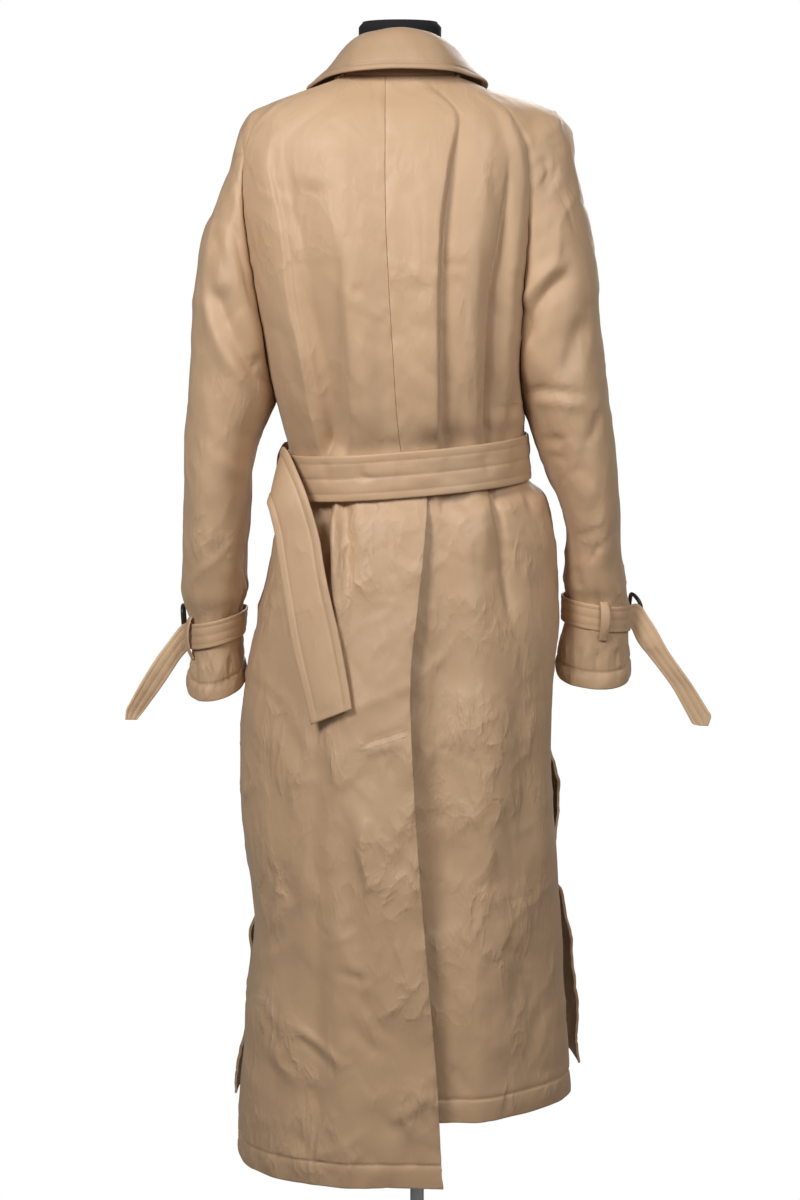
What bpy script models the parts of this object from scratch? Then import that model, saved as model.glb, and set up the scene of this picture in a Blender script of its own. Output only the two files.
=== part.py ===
"""Long belted raglan trench coat, worn by a limbless dress form on a pole and a round foot.

The coat's back faces -Y and its front +Y, so the wearer's left is -X. The origin is on the floor,
in the middle of the foot. Every cloth piece is a thin closed wall: its outer face follows a table
of body or sleeve sizes and a table of fold lines, and its inner face lies one wall further in.
"""
import math

import bmesh
import bpy
from mathutils import Vector

# ---- driving sizes, in metres -------------------------------------------------------------------
WALL = 0.0030            # padded cotton, outer face to inner face
SEAM_GAP = 0.0003        # between two pieces sewn together
LAP_GAP = 0.0007         # between a piece and what lies on it
BODY_X = -0.020          # middle plane of the coat and of the form
UNDERARM_Z = 1.055
BELT_BOTTOM_Z = 0.9570
BELT_WIDTH = 0.050
BELT_WALL = 0.0030
BELT_TILT = 0.080        # the belt sits higher on the wearer's right
LAP_OUT = 0.0045         # how far the upper layer of an overlap stands off the lower one
STRAP_WALL = 0.0025
POLE_RADIUS = 0.008
FOOT_RADIUS = 0.165
FOOT_HEIGHT = 0.012


def rows_of(columns, *rows):
    """A table: one dictionary for each row, with the column names as keys."""
    names = columns.split()
    return [dict(zip(names, row)) for row in rows]


def value(table, column, at, key=None):
    """Smooth value of a column at a place along the table's first (or named) column.

    Between two rows the curve is a cubic whose slopes never overshoot the rows."""
    key = key or next(iter(table[0]))
    pairs = sorted((row[key], row[column]) for row in table if column in row)
    if at <= pairs[0][0]:
        return pairs[0][1]
    if at >= pairs[-1][0]:
        return pairs[-1][1]
    for i in range(len(pairs) - 1):
        if at <= pairs[i + 1][0]:
            break
    (x0, y0), (x1, y1) = pairs[i], pairs[i + 1]

    def slope(j):
        if j == 0 or j == len(pairs) - 1:
            return 0.0 if j else (y1 - y0) / (x1 - x0)
        before = (pairs[j][1] - pairs[j - 1][1]) / (pairs[j][0] - pairs[j - 1][0])
        after = (pairs[j + 1][1] - pairs[j][1]) / (pairs[j + 1][0] - pairs[j][0])
        return 0.0 if before * after <= 0 else 2 * before * after / (before + after)

    width = x1 - x0
    s = (at - x0) / width
    return (y0 * (1 + 2 * s) * (1 - s) ** 2 + slope(i) * width * s * (1 - s) ** 2
            + y1 * s * s * (3 - 2 * s) + slope(i + 1) * width * s * s * (s - 1))


def mix(a, b, share):
    return a + (b - a) * share


def ease(share):
    """0 to 1 with level ends."""
    share = min(1.0, max(0.0, share))
    return share * share * (3 - 2 * share)


# ---- the coat's body ----------------------------------------------------------------------------
# Half sizes of the body's level section about (BODY_X, 0): to the wearer's left and right, back, front.
BODY = rows_of(
    "z      left    right   back    front",
    (0.200, 0.1880, 0.2000, 0.1780, 0.1700),
    (0.270, 0.1850, 0.1985, 0.1760, 0.1690),
    (0.320, 0.1810, 0.1960, 0.1740, 0.1670),
    (0.364, 0.1800, 0.1920, 0.1720, 0.1650),
    (0.411, 0.1730, 0.1880, 0.1700, 0.1630),
    (0.456, 0.1690, 0.1850, 0.1680, 0.1610),
    (0.500, 0.1720, 0.1815, 0.1660, 0.1590),
    (0.562, 0.1780, 0.1790, 0.1630, 0.1560),
    (0.600, 0.1810, 0.1755, 0.1610, 0.1540),
    (0.660, 0.1815, 0.1725, 0.1570, 0.1500),
    (0.740, 0.1750, 0.1740, 0.1500, 0.1430),
    (0.811, 0.1620, 0.1800, 0.1420, 0.1350),
    (0.860, 0.1490, 0.1770, 0.1360, 0.1290),
    (0.900, 0.1410, 0.1735, 0.1310, 0.1240),
    (0.935, 0.1360, 0.1650, 0.1250, 0.1170),
    (0.957, 0.1260, 0.1440, 0.1180, 0.1110),
    (1.007, 0.1260, 0.1400, 0.1190, 0.1110),
    (1.030, 0.1310, 0.1400, 0.1270, 0.1170),
    (1.055, 0.1380, 0.1355, 0.1330, 0.1230),
    (1.130, 0.1600, 0.1440, 0.1400, 0.1290),
    (1.200, 0.1770, 0.1560, 0.1390, 0.1280),
    (1.290, 0.1910, 0.1680, 0.1290, 0.1170),
    (1.330, 0.1890, 0.1710, 0.1190, 0.1060),
    (1.360, 0.1780, 0.1660, 0.1060, 0.0930),
    (1.372, 0.1660, 0.1560, 0.0990, 0.0860),
    (1.385, 0.1440, 0.1360, 0.0880, 0.0760),
    (1.395, 0.1180, 0.1110, 0.0790, 0.0690),
    (1.405, 0.0870, 0.0850, 0.0720, 0.0620),
    (1.420, 0.0680, 0.0670, 0.0640, 0.0560),
)
# How square a section is: 1 is an ellipse, less is fuller at its corners.
SECTION_POWER = 0.90

# The raglan seams run from under the collar out round the shoulder and down to the underarm.
RAGLAN = rows_of(
    "z      back_left back_right front_left front_right",
    (1.055, -0.1580, 0.1155, -0.1580, 0.1155),
    (1.100, -0.1665, 0.1120, -0.1670, 0.1160),
    (1.150, -0.1745, 0.1140, -0.1740, 0.1220),
    (1.200, -0.1820, 0.1170, -0.1790, 0.1280),
    (1.290, -0.1905, 0.1205, -0.1800, 0.1330),
    (1.325, -0.1890, 0.1185, -0.1680, 0.1250),
    (1.350, -0.1800, 0.1090, -0.1480, 0.1060),
    (1.374, -0.1580, 0.0930, -0.1140, 0.0740),
    (1.392, -0.1220, 0.0740, -0.0840, 0.0440),
    (1.408, -0.0800, 0.0400, -0.0700, 0.0300),
    (1.420, -0.0700, 0.0300, -0.0660, 0.0260),
)
NECK_Z = {"back_middle": 1.406, "back_seam": 1.408, "front_seam": 1.394, "front_middle": 1.366}

# Heights of the hems, by the angle round the body: 0 wearer's right, 90 back, 180 left, 270 front.
HEM = rows_of(
    "angle  left    right",
    (0.0,   0.2000, 0.2640),
    (40.0,  0.2000, 0.2690),
    (90.0,  0.2025, 0.2710),
    (130.0, 0.1930, 0.2710),
    (165.0, 0.1860, 0.2700),
    (180.0, 0.2010, 0.2700),
    (190.0, 0.2330, 0.2700),
    (200.0, 0.2450, 0.2650),
    (215.0, 0.2250, 0.2600),
    (270.0, 0.2250, 0.2480),
    (320.0, 0.2250, 0.2500),
    (338.0, 0.2250, 0.2800),
    (348.0, 0.2250, 0.2670),
    (360.0, 0.2250, 0.2640),
)

# Fold lines. Each runs the whole height of its piece: how far across it is (x, or the angle round
# the body for the lines at the sides), and how far it stands out of the section.
LINES = {
    "middle_left": ("back", rows_of(
        "z      across   out",
        (0.200, 0.0252, 0.0090),
        (0.300, 0.0206, 0.0100),
        (0.467, 0.0073, 0.0110),
        (0.676, -0.0070, 0.0100),
        (0.753, -0.0092, 0.0100),
        (0.860, 0.0010, 0.0080),
        (0.930, 0.0080, 0.0040),
        (0.957, 0.0095, 0.0000),
        (1.007, -0.0190, 0.0000),
        (1.100, -0.0270, 0.0000),
        (1.300, -0.0360, 0.0000),
        (1.420, -0.0360, 0.0000))),
    "swell_left": ("back", rows_of(
        "z      across   out",
        (0.200, -0.0400, 0.0040),
        (0.500, -0.0500, 0.0080),
        (0.750, -0.0560, 0.0050),
        (0.930, -0.0550, 0.0020),
        (0.957, -0.0550, -0.0010),
        (1.007, -0.0600, -0.0010),
        (1.060, -0.0640, 0.0050),
        (1.200, -0.0720, 0.0070),
        (1.330, -0.0800, 0.0040),
        (1.420, -0.0440, 0.0000))),
    "ridge_left": ("back", rows_of(
        "z      across   out",
        (0.200, -0.0750, 0.0060),
        (0.500, -0.0820, 0.0060),
        (0.750, -0.0880, 0.0040),
        (0.930, -0.0870, 0.0060),
        (0.957, -0.0880, -0.0010),
        (1.007, -0.0880, -0.0020),
        (1.060, -0.0980, -0.0040),
        (1.200, -0.1190, -0.0035),
        (1.330, -0.1420, -0.0010),
        (1.420, -0.0520, 0.0000))),
    "crease_left": ("back", rows_of(
        "z      across   out",
        (0.200, -0.1150, -0.0040),
        (0.400, -0.1180, -0.0060),
        (0.600, -0.1180, -0.0040),
        (0.800, -0.1080, -0.0060),
        (0.930, -0.1020, -0.0120),
        (0.957, -0.1010, -0.0090),
        (1.007, -0.1030, -0.0040),
        (1.060, -0.1130, 0.0040),
        (1.100, -0.1190, 0.0050),
        (1.180, -0.1340, 0.0050),
        (1.240, -0.1410, 0.0040),
        (1.330, -0.1600, 0.0015),
        (1.420, -0.0600, 0.0000))),
    "side_left": ("angle", rows_of(
        "z      across   out",
        (0.200, 180.0, 0.0005),
        (0.330, 180.0, 0.0005),
        (0.430, 180.0, 0.0000),
        (0.470, 180.0, -0.0015),
        (0.600, 180.0, 0.0000),
        (0.930, 180.0, 0.0000),
        (0.957, 180.0, -0.0010),
        (1.007, 180.0, -0.0010),
        (1.055, 180.0, 0.0000))),
    "middle_right": ("back", rows_of(
        "z      across   out",
        (0.260, -0.0300, -0.0060),
        (0.467, -0.0420, -0.0070),
        (0.676, -0.0520, -0.0070),
        (0.900, -0.0380, -0.0060),
        (0.930, -0.0200, -0.0050),
        (0.957, 0.0098, -0.0045),
        (1.007, -0.0187, 0.0000),
        (1.100, -0.0267, 0.0000),
        (1.300, -0.0357, 0.0000),
        (1.420, -0.0357, 0.0000))),
    "pleat_crest": ("back", rows_of(
        "z      across   out",
        (0.260, 0.0150, -0.0090),
        (0.467, 0.0050, -0.0120),
        (0.676, -0.0050, -0.0120),
        (0.900, 0.0120, -0.0060),
        (0.930, 0.0150, -0.0050),
        (0.957, 0.0190, -0.0020),
        (1.007, 0.0190, 0.0000),
        (1.040, 0.0180, 0.0080),
        (1.155, 0.0166, 0.0090),
        (1.240, 0.0194, 0.0085),
        (1.310, 0.0282, 0.0065),
        (1.360, 0.0366, 0.0035),
        (1.420, -0.0100, 0.0000))),
    "pleat_foot": ("back", rows_of(
        "z      across   out",
        (0.260, 0.0330, -0.0070),
        (0.467, 0.0220, -0.0110),
        (0.676, 0.0090, -0.0110),
        (0.900, 0.0260, -0.0060),
        (0.957, 0.0290, -0.0060),
        (1.007, 0.0290, -0.0060),
        (1.040, 0.0258, -0.0030),
        (1.155, 0.0244, -0.0025),
        (1.240, 0.0272, -0.0020),
        (1.310, 0.0362, -0.0010),
        (1.360, 0.0446, 0.0000),
        (1.420, 0.0000, 0.0000))),
    "swell_right": ("back", rows_of(
        "z      across   out",
        (0.260, 0.0750, 0.0020),
        (0.500, 0.0650, 0.0010),
        (0.750, 0.0600, 0.0030),
        (0.930, 0.0620, 0.0020),
        (0.957, 0.0620, -0.0010),
        (1.007, 0.0620, -0.0010),
        (1.060, 0.0560, 0.0020),
        (1.200, 0.0600, 0.0015),
        (1.330, 0.0720, 0.0010),
        (1.420, 0.0100, 0.0000))),
    "crease_right": ("back", rows_of(
        "z      across   out",
        (0.260, 0.1150, -0.0030),
        (0.500, 0.1100, -0.0040),
        (0.750, 0.1080, -0.0040),
        (0.900, 0.0940, -0.0050),
        (0.957, 0.0830, -0.0060),
        (1.007, 0.0780, -0.0060),
        (1.060, 0.0785, -0.0070),
        (1.100, 0.0790, -0.0070),
        (1.180, 0.0815, -0.0065),
        (1.230, 0.0890, -0.0050),
        (1.310, 0.0960, -0.0025),
        (1.360, 0.0850, -0.0010),
        (1.420, 0.0190, 0.0000))),
    "side_right": ("angle", rows_of(
        "z      across   out",
        (0.260, 0.0, -0.0120),
        (0.450, 0.0, -0.0120),
        (0.560, 0.0, -0.0070),
        (0.660, 0.0, -0.0060),
        (0.760, 0.0, 0.0000),
        (1.055, 0.0, 0.0000))),
    "lip_right": ("share", rows_of(
        "z      across   out",
        (0.260, 0.70, 0.0030),
        (0.700, 0.70, 0.0020),
        (0.957, 0.60, -0.0010),
        (1.007, 0.60, -0.0010),
        (1.060, 0.60, 0.0040),
        (1.300, 0.60, 0.0020),
        (1.420, 0.60, 0.0000))),
    "front_flare_left": ("share", rows_of(
        "z      across   out",
        (0.200, 0.28, 0.0040),
        (0.420, 0.28, 0.0030),
        (0.560, 0.28, 0.0040),
        (0.900, 0.28, 0.0030),
        (0.957, 0.28, -0.0010),
        (1.007, 0.28, -0.0010),
        (1.060, 0.28, 0.0040),
        (1.420, 0.28, 0.0000))),
    "front_crease_left": ("share", rows_of(
        "z      across   out",
        (0.200, 0.40, -0.0040),
        (0.600, 0.36, -0.0050),
        (0.900, 0.32, -0.0100),
        (0.957, 0.32, -0.0080),
        (1.007, 0.32, -0.0080),
        (1.060, 0.34, -0.0090),
        (1.250, 0.38, -0.0040),
        (1.420, 0.40, 0.0000))),
    "front_swell_left": ("share", rows_of(
        "z      across   out",
        (0.200, 0.40, 0.0060),
        (0.600, 0.40, 0.0050),
        (0.900, 0.36, 0.0020),
        (0.957, 0.36, -0.0010),
        (1.007, 0.36, -0.0010),
        (1.060, 0.36, 0.0040),
        (1.250, 0.40, 0.0020),
        (1.420, 0.40, 0.0000))),
    "front_middle": ("front", rows_of(
        "z      across   out",
        (0.200, -0.0200, 0.0000),
        (1.420, -0.0200, 0.0000))),
    "under_flat": ("front", rows_of(
        "z      across   out",
        (0.200, -0.0720, 0.0000),
        (1.300, -0.0720, 0.0000),
        (1.420, -0.0500, 0.0000))),
    "under_edge": ("front", rows_of(
        "z      across   out",
        (0.200, 0.0300, 0.0000),
        (1.300, 0.0300, 0.0000),
        (1.420, 0.0150, 0.0000))),
    "front_flare_right": ("share", rows_of(
        "z      across   out",
        (0.240, 0.28, 0.0050),
        (0.350, 0.28, 0.0050),
        (0.450, 0.28, 0.0040),
        (0.510, 0.28, 0.0000),
        (0.600, 0.28, 0.0060),
        (0.680, 0.28, 0.0050),
        (0.900, 0.28, 0.0020),
        (0.957, 0.28, -0.0010),
        (1.007, 0.28, -0.0010),
        (1.060, 0.28, 0.0040),
        (1.420, 0.28, 0.0000))),
    "front_crease_right": ("share", rows_of(
        "z      across   out",
        (0.240, 0.40, -0.0050),
        (0.600, 0.36, -0.0060),
        (0.900, 0.32, -0.0110),
        (0.957, 0.32, -0.0080),
        (1.007, 0.32, -0.0080),
        (1.060, 0.34, -0.0100),
        (1.250, 0.38, -0.0040),
        (1.420, 0.40, 0.0000))),
    "lap_start": ("front", rows_of(
        "z      across   out",
        (0.200, 0.0480, 0.0045),
        (1.300, 0.0480, 0.0045),
        (1.420, 0.0300, 0.0045))),
    "lap_middle": ("front", rows_of(
        "z      across   out",
        (0.200, -0.0200, 0.0045),
        (1.420, -0.0200, 0.0045))),
    "lap_edge": ("front", rows_of(
        "z      across   out",
        (0.200, -0.0600, 0.0045),
        (1.300, -0.0600, 0.0045),
        (1.420, -0.0400, 0.0045))),
}

# Each body piece: its lines in order, starting at its middle, with the columns up to the next line.
PIECES = {
    "back_left": ("left", "back", (("middle_left", 2), ("swell_left", 2), ("ridge_left", 2),
                                   ("crease_left", 4), ("side_left", 0))),
    "back_right": ("right", "back", (("middle_right", 1), ("pleat_crest", 1), ("pleat_foot", 2),
                                     ("swell_right", 2), ("crease_right", 2), ("lip_right", 1),
                                     ("side_right", 0))),
    "front_left": ("left", "front", (("under_edge", 1), ("front_middle", 2), ("under_flat", 1),
                                     ("front_swell_left", 1),
                                     ("front_crease_left", 2), ("front_flare_left", 1),
                                     ("side_left", 0))),
    "front_right": ("right", "front", (("lap_edge", 1), ("lap_middle", 2), ("lap_start", 2),
                                       ("front_crease_right", 2), ("front_flare_right", 2),
                                       ("side_right", 0))),
}

# Rows of every body piece: shares of the way up the skirt, heights from the belt to the underarm,
# and shares of the way from the underarm up to the neck.
SKIRT_SHARES = (0.0, 0.07, 0.15, 0.23, 0.31, 0.39, 0.47, 0.55, 0.63, 0.71, 0.79, 0.86, 0.92, 0.964)
WAIST_HEIGHTS = (BELT_BOTTOM_Z, BELT_BOTTOM_Z + BELT_WIDTH / 2, BELT_BOTTOM_Z + BELT_WIDTH, 1.028)
RAGLAN_SHARES = (0.0, 0.11, 0.22, 0.34, 0.46, 0.58, 0.69, 0.79, 0.87, 0.925, 0.965, 1.0)

# ---- the sleeves --------------------------------------------------------------------------------
# Above the underarm: the top line of the shoulder and the outer side, with the sleeve's depth.
SHOULDER = {
    "left": rows_of(
        "share  out_x    out_z   depth",
        (0.00, -0.2545, 1.0750, 0.080),
        (0.10, -0.2525, 1.1200, 0.083),
        (0.20, -0.2490, 1.1700, 0.085),
        (0.30, -0.2425, 1.2150, 0.086),
        (0.40, -0.2320, 1.2520, 0.086),
        (0.50, -0.2180, 1.2850, 0.084),
        (0.60, -0.2055, 1.3190, 0.080),
        (0.70, -0.1965, 1.3480, 0.074),
        (0.78, -0.1850, 1.3680, 0.068),
        (0.85, -0.1590, 1.3815, 0.062),
        (0.92, -0.1210, 1.3930, 0.056),
        (1.00, -0.0800, 1.4110, 0.050)),
    "right": rows_of(
        "share  out_x    out_z   depth",
        (0.00, 0.2110, 1.0750, 0.080),
        (0.10, 0.2065, 1.1200, 0.083),
        (0.20, 0.2015, 1.1700, 0.085),
        (0.30, 0.1955, 1.2150, 0.086),
        (0.40, 0.1890, 1.2520, 0.086),
        (0.50, 0.1815, 1.2850, 0.084),
        (0.60, 0.1735, 1.3190, 0.080),
        (0.70, 0.1700, 1.3450, 0.074),
        (0.78, 0.1600, 1.3640, 0.068),
        (0.85, 0.1270, 1.3815, 0.062),
        (0.92, 0.0820, 1.3930, 0.056),
        (1.00, 0.0400, 1.4110, 0.050)),
}
# Below the underarm: the outer and the inner side, half the depth, and how far forward it hangs.
SLEEVE = {
    "left": rows_of(
        "name            out_x    out_z   in_x     in_z    depth  forward drop",
        ("underarm",     -0.2545, 1.0750, -0.1580, 1.0550, 0.080, 0.000, 0.000),
        ("upper_arm",    -0.2570, 1.0450, -0.1665, 1.0330, 0.079, 0.000, 0.000),
        ("above_elbow",  -0.2590, 1.0150, -0.1760, 1.0100, 0.078, 0.002, 0.000),
        ("elbow",        -0.2615, 0.9750, -0.1860, 0.9750, 0.076, 0.004, 0.000),
        ("below_elbow",  -0.2640, 0.9350, -0.1895, 0.9350, 0.074, 0.007, 0.000),
        ("forearm",      -0.2660, 0.8950, -0.1918, 0.8930, 0.071, 0.011, 0.000),
        ("gather_top",   -0.2675, 0.8600, -0.1930, 0.8570, 0.067, 0.015, 0.000),
        ("gather",       -0.2680, 0.8350, -0.1920, 0.8370, 0.062, 0.018, 0.000),
        ("strap_top",    -0.2590, 0.8050, -0.1970, 0.8200, 0.052, 0.020, 0.000),
        ("strap_bottom", -0.2580, 0.7690, -0.2000, 0.7860, 0.051, 0.020, 0.000),
        ("cuff",         -0.2610, 0.7480, -0.1985, 0.7620, 0.053, 0.021, 0.006),
        ("cuff_edge",    -0.2640, 0.7260, -0.1945, 0.7380, 0.055, 0.022, 0.014)),
    "right": rows_of(
        "name            out_x    out_z   in_x     in_z    depth  forward drop",
        ("underarm",     0.2110, 1.0750, 0.1155, 1.0550, 0.080, 0.000, 0.000),
        ("upper_arm",    0.2160, 1.0400, 0.1235, 1.0300, 0.079, 0.000, 0.000),
        ("above_elbow",  0.2205, 1.0100, 0.1320, 1.0050, 0.078, 0.002, 0.000),
        ("elbow",        0.2240, 0.9720, 0.1465, 0.9680, 0.076, 0.004, 0.000),
        ("below_elbow",  0.2268, 0.9350, 0.1610, 0.9350, 0.073, 0.008, 0.000),
        ("forearm",      0.2288, 0.9030, 0.1680, 0.9050, 0.069, 0.012, 0.000),
        ("gather_top",   0.2320, 0.8680, 0.1668, 0.8700, 0.064, 0.016, 0.000),
        ("gather",       0.2370, 0.8430, 0.1650, 0.8490, 0.058, 0.018, 0.000),
        ("strap_top",    0.2400, 0.8240, 0.1675, 0.8330, 0.050, 0.020, 0.000),
        ("strap_bottom", 0.2400, 0.7910, 0.1675, 0.8020, 0.049, 0.020, 0.000),
        ("cuff",         0.2425, 0.7650, 0.1610, 0.7750, 0.050, 0.021, 0.004),
        ("cuff_edge",    0.2435, 0.7380, 0.1595, 0.7420, 0.051, 0.022, 0.010)),
}
SLEEVE_COLUMNS = 12          # even: the overarm seam runs down the middle column


# ---- surfaces -----------------------------------------------------------------------------------
def section_point(angle, z):
    """Point of the smooth body at an angle round it: 0 right, 90 back, 180 left, 270 front."""
    c, s = math.cos(math.radians(angle)), math.sin(math.radians(angle))
    half_width = value(BODY, "right" if c > 0 else "left", z)
    half_depth = value(BODY, "back" if s > 0 else "front", z)
    x = BODY_X + math.copysign(half_width * abs(c) ** SECTION_POWER, c)
    y = -math.copysign(half_depth * abs(s) ** SECTION_POWER, s)
    return Vector((x, y, z + belt_tilt(x, z)))


def belt_tilt(x, z):
    """The level rows rise to the wearer's right round the waist, as the belt does."""
    share = ease((z - 0.87) / 0.08) * ease((UNDERARM_Z - z) / 0.045)
    return BELT_TILT * (x - BODY_X) * share


def section_normal(angle, z):
    """Outward direction of the smooth body."""
    step = 0.5
    round_it = section_point(angle + step, z) - section_point(angle - step, z)
    up = section_point(angle, z + 0.004) - section_point(angle, z - 0.004)
    return up.cross(round_it).normalized()


def angle_at(x, z, face):
    """The angle round the body at which its section passes over x, on the back or the front."""
    half_width = value(BODY, "right" if x > BODY_X else "left", z)
    share = min(1.0, abs(x - BODY_X) / half_width) ** (1 / SECTION_POWER)
    angle = math.degrees(math.acos(math.copysign(share, x - BODY_X)))
    return angle if face == "back" else 360 - angle


# The side seams end in vents, where the front's edge turns forward, away from the back's, and
# stands out past it: how far round it lies, in degrees, and how much farther out.
SIDE_VENTS = {
    "left": rows_of(
        "z      turn   out",
        (0.200, 10.0, 0.0115),
        (0.260, 10.0, 0.0105),
        (0.320, 9.0,  0.0035),
        (0.400, 8.0,  0.0035),
        (0.434, 7.0,  0.0090),
        (0.472, 4.0,  -0.0010),
        (0.500, 0.0,  0.0000)),
    "right": rows_of(
        "z      turn   out",
        (0.240, 12.0, 0.0330),
        (0.267, 12.0, 0.0326),
        (0.289, 12.0, 0.0300),
        (0.328, 12.0, 0.0324),
        (0.399, 12.0, 0.0300),
        (0.427, 11.0, 0.0290),
        (0.445, 11.0, 0.0256),
        (0.478, 10.0, 0.0190),
        (0.496, 8.0,  0.0100),
        (0.516, 6.0,  0.0030),
        (0.534, 6.0,  0.0080),
        (0.561, 7.0,  0.0120),
        (0.595, 8.0,  0.0180),
        (0.625, 6.0,  0.0155),
        (0.667, 3.0,  0.0040),
        (0.695, 0.0,  0.0000)),
}


def line_place(line, z, side, face, before):
    """Angle and stand-out of a fold line at a height; `before` is the angle of the line before it."""
    kind, table = LINES[line]
    if line.startswith("side"):
        if z > UNDERARM_Z:
            return angle_at(value(RAGLAN, face + "_" + side, z), z, face), 0.0
        if face == "back":
            return (180.0 if side == "left" else 0.0), value(table, "out", z)
        turn = value(SIDE_VENTS[side], "turn", z)
        angle = 180.0 + turn if side == "left" else 360.0 - turn
        return angle, value(table, "out", z) + value(SIDE_VENTS[side], "out", z)
    across = value(table, "across", z)
    if kind == "share":
        end = line_place("side_" + side, z, side, face, None)[0]
        return mix(before, end, across), value(table, "out", z)
    return angle_at(across, z, kind), value(table, "out", z)


def body_columns(piece):
    """For each column of a body piece: the line it starts from, and the share of the way on."""
    columns = []
    lines = PIECES[piece][2]
    for index, (line, count) in enumerate(lines):
        for step in range(max(count, 1)):
            columns.append((index, step / max(count, 1)))
    return columns


def body_place(piece, column, z):
    """Angle and stand-out of a column of a body piece at a height."""
    side, face, lines = PIECES[piece]
    index, share = body_columns(piece)[column]
    places, before = [], None
    for line, _ in lines[:index + 2]:
        place = line_place(line, z, side, face, before)
        places.append(place)
        before = place[0]
    if share == 0.0:
        return places[index]
    (angle0, out0), (angle1, out1) = places[index], places[index + 1]
    return mix(angle0, angle1, share), mix(out0, out1, ease(share))


def raglan_height(face, share, across):
    """Height of a body row above the underarm, from the middle (0) to the seam (1)."""
    middle = mix(UNDERARM_Z, NECK_Z[face + "_middle"], share)
    seam = mix(UNDERARM_Z, NECK_Z[face + "_seam"], share)
    return mix(middle, seam, ease(across))


def body_grid(piece):
    """Rows of (outer point, outward direction) from hem to neck."""
    side, face, _ = PIECES[piece]
    count = len(body_columns(piece))
    grid = []
    for share in SKIRT_SHARES:
        row = []
        for column in range(count):
            nominal = mix(0.25, BELT_BOTTOM_Z, share)
            angle = body_place(piece, column, nominal)[0]
            z = mix(value(HEM, side, angle), BELT_BOTTOM_Z, share)
            row.append(cloth_point(piece, column, z))
        grid.append(row)
    for z in WAIST_HEIGHTS:
        grid.append([cloth_point(piece, column, z) for column in range(count)])
    for share in RAGLAN_SHARES:
        row = []
        for column in range(count):
            z = raglan_height(face, share, column / (count - 1))
            row.append(cloth_point(piece, column, z))
        grid.append(row)
    return grid


def cloth_point(piece, column, z):
    angle, out = body_place(piece, column, z)
    normal = section_normal(angle, z)
    return section_point(angle, z) + normal * out, normal


def unit(vector):
    return vector.normalized() if vector.length > 1e-9 else vector


def trim_body(piece, grid):
    """Pull the side edge and the raglan edge half a seam gap back from their neighbours."""
    side, face, _ = PIECES[piece]
    first_raglan = len(SKIRT_SHARES) + len(WAIST_HEIGHTS)
    for index, row in enumerate(grid):
        point, normal = row[-1]
        shift = Vector((0, 0, 0))
        if index <= first_raglan:
            inward = unit(row[-2][0] - point)
            shift += inward * (SEAM_GAP / 2)
        if index >= first_raglan:
            shift += seam_side(grid, index, side, face) * (-SEAM_GAP / 2)
        row[-1] = (point + shift, normal)
    return grid


def seam_side(grid, index, side, face):
    """Direction across the raglan seam, from the body to the sleeve."""
    low = grid[max(index - 1, len(SKIRT_SHARES) + len(WAIST_HEIGHTS))][-1][0]
    high = grid[min(index + 1, len(grid) - 1)][-1][0]
    normal = grid[index][-1][1]
    across = unit(normal.cross(unit(high - low)))
    toward = Vector((1 if side == "right" else -1, 0.6 if face == "back" else -0.6, 0))
    return across if across.dot(toward) > 0 else -across


# ---- meshes -------------------------------------------------------------------------------------
def new_object(name, verts, faces, material, smooth=True):
    mesh = bpy.data.meshes.new(name)
    mesh.from_pydata([tuple(v) for v in verts], [], faces)
    work = bmesh.new()
    work.from_mesh(mesh)
    bmesh.ops.recalc_face_normals(work, faces=work.faces)
    work.to_mesh(mesh)
    work.free()
    if smooth:
        mesh.shade_smooth()
        mesh.set_sharp_from_angle(angle=math.radians(50))
    obj = bpy.data.objects.new(name, mesh)
    obj.data.materials.append(material)
    bpy.context.collection.objects.link(obj)
    return obj


def wall(name, outer, inner, material, ring=False):
    """A closed wall between two grids of points with the same rows and columns."""
    rows, columns = len(outer), len(outer[0])
    verts = [p for row in outer for p in row] + [p for row in inner for p in row]
    half = rows * columns

    def at(layer, row, column):
        return layer * half + row * columns + column % columns

    faces = []
    spans = columns if ring else columns - 1
    for row in range(rows - 1):
        for column in range(spans):
            for layer in (0, 1):
                a, b = at(layer, row, column), at(layer, row, column + 1)
                c, d = at(layer, row + 1, column + 1), at(layer, row + 1, column)
                faces += [(a, b, c), (a, c, d)]
        if not ring:
            for column in (0, columns - 1):
                a, b = at(0, row, column), at(0, row + 1, column)
                c, d = at(1, row + 1, column), at(1, row, column)
                faces += [(a, b, d), (b, c, d)]
    for row in (0, rows - 1):
        for column in range(spans):
            a, b = at(0, row, column), at(0, row, column + 1)
            c, d = at(1, row, column + 1), at(1, row, column)
            faces += [(a, b, c), (a, c, d)]
    return new_object(name, verts, faces, material)


def cloth_wall(name, grid, material, thickness=WALL, ring=False):
    outer = [[point for point, _ in row] for row in grid]
    inner = [[point - normal * thickness for point, normal in row] for row in grid]
    return wall(name, outer, inner, material, ring)


# ---- sleeves ------------------------------------------------------------------------------------
def arc(start, turn_out, turn_in, end, steps):
    """Points of a cubic curve from one seam to the other."""
    points = []
    for step in range(steps + 1):
        t = step / steps
        s = 1 - t
        points.append(start * s ** 3 + turn_out * (3 * s * s * t)
                      + turn_in * (3 * s * t * t) + end * t ** 3)
    return points


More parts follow.
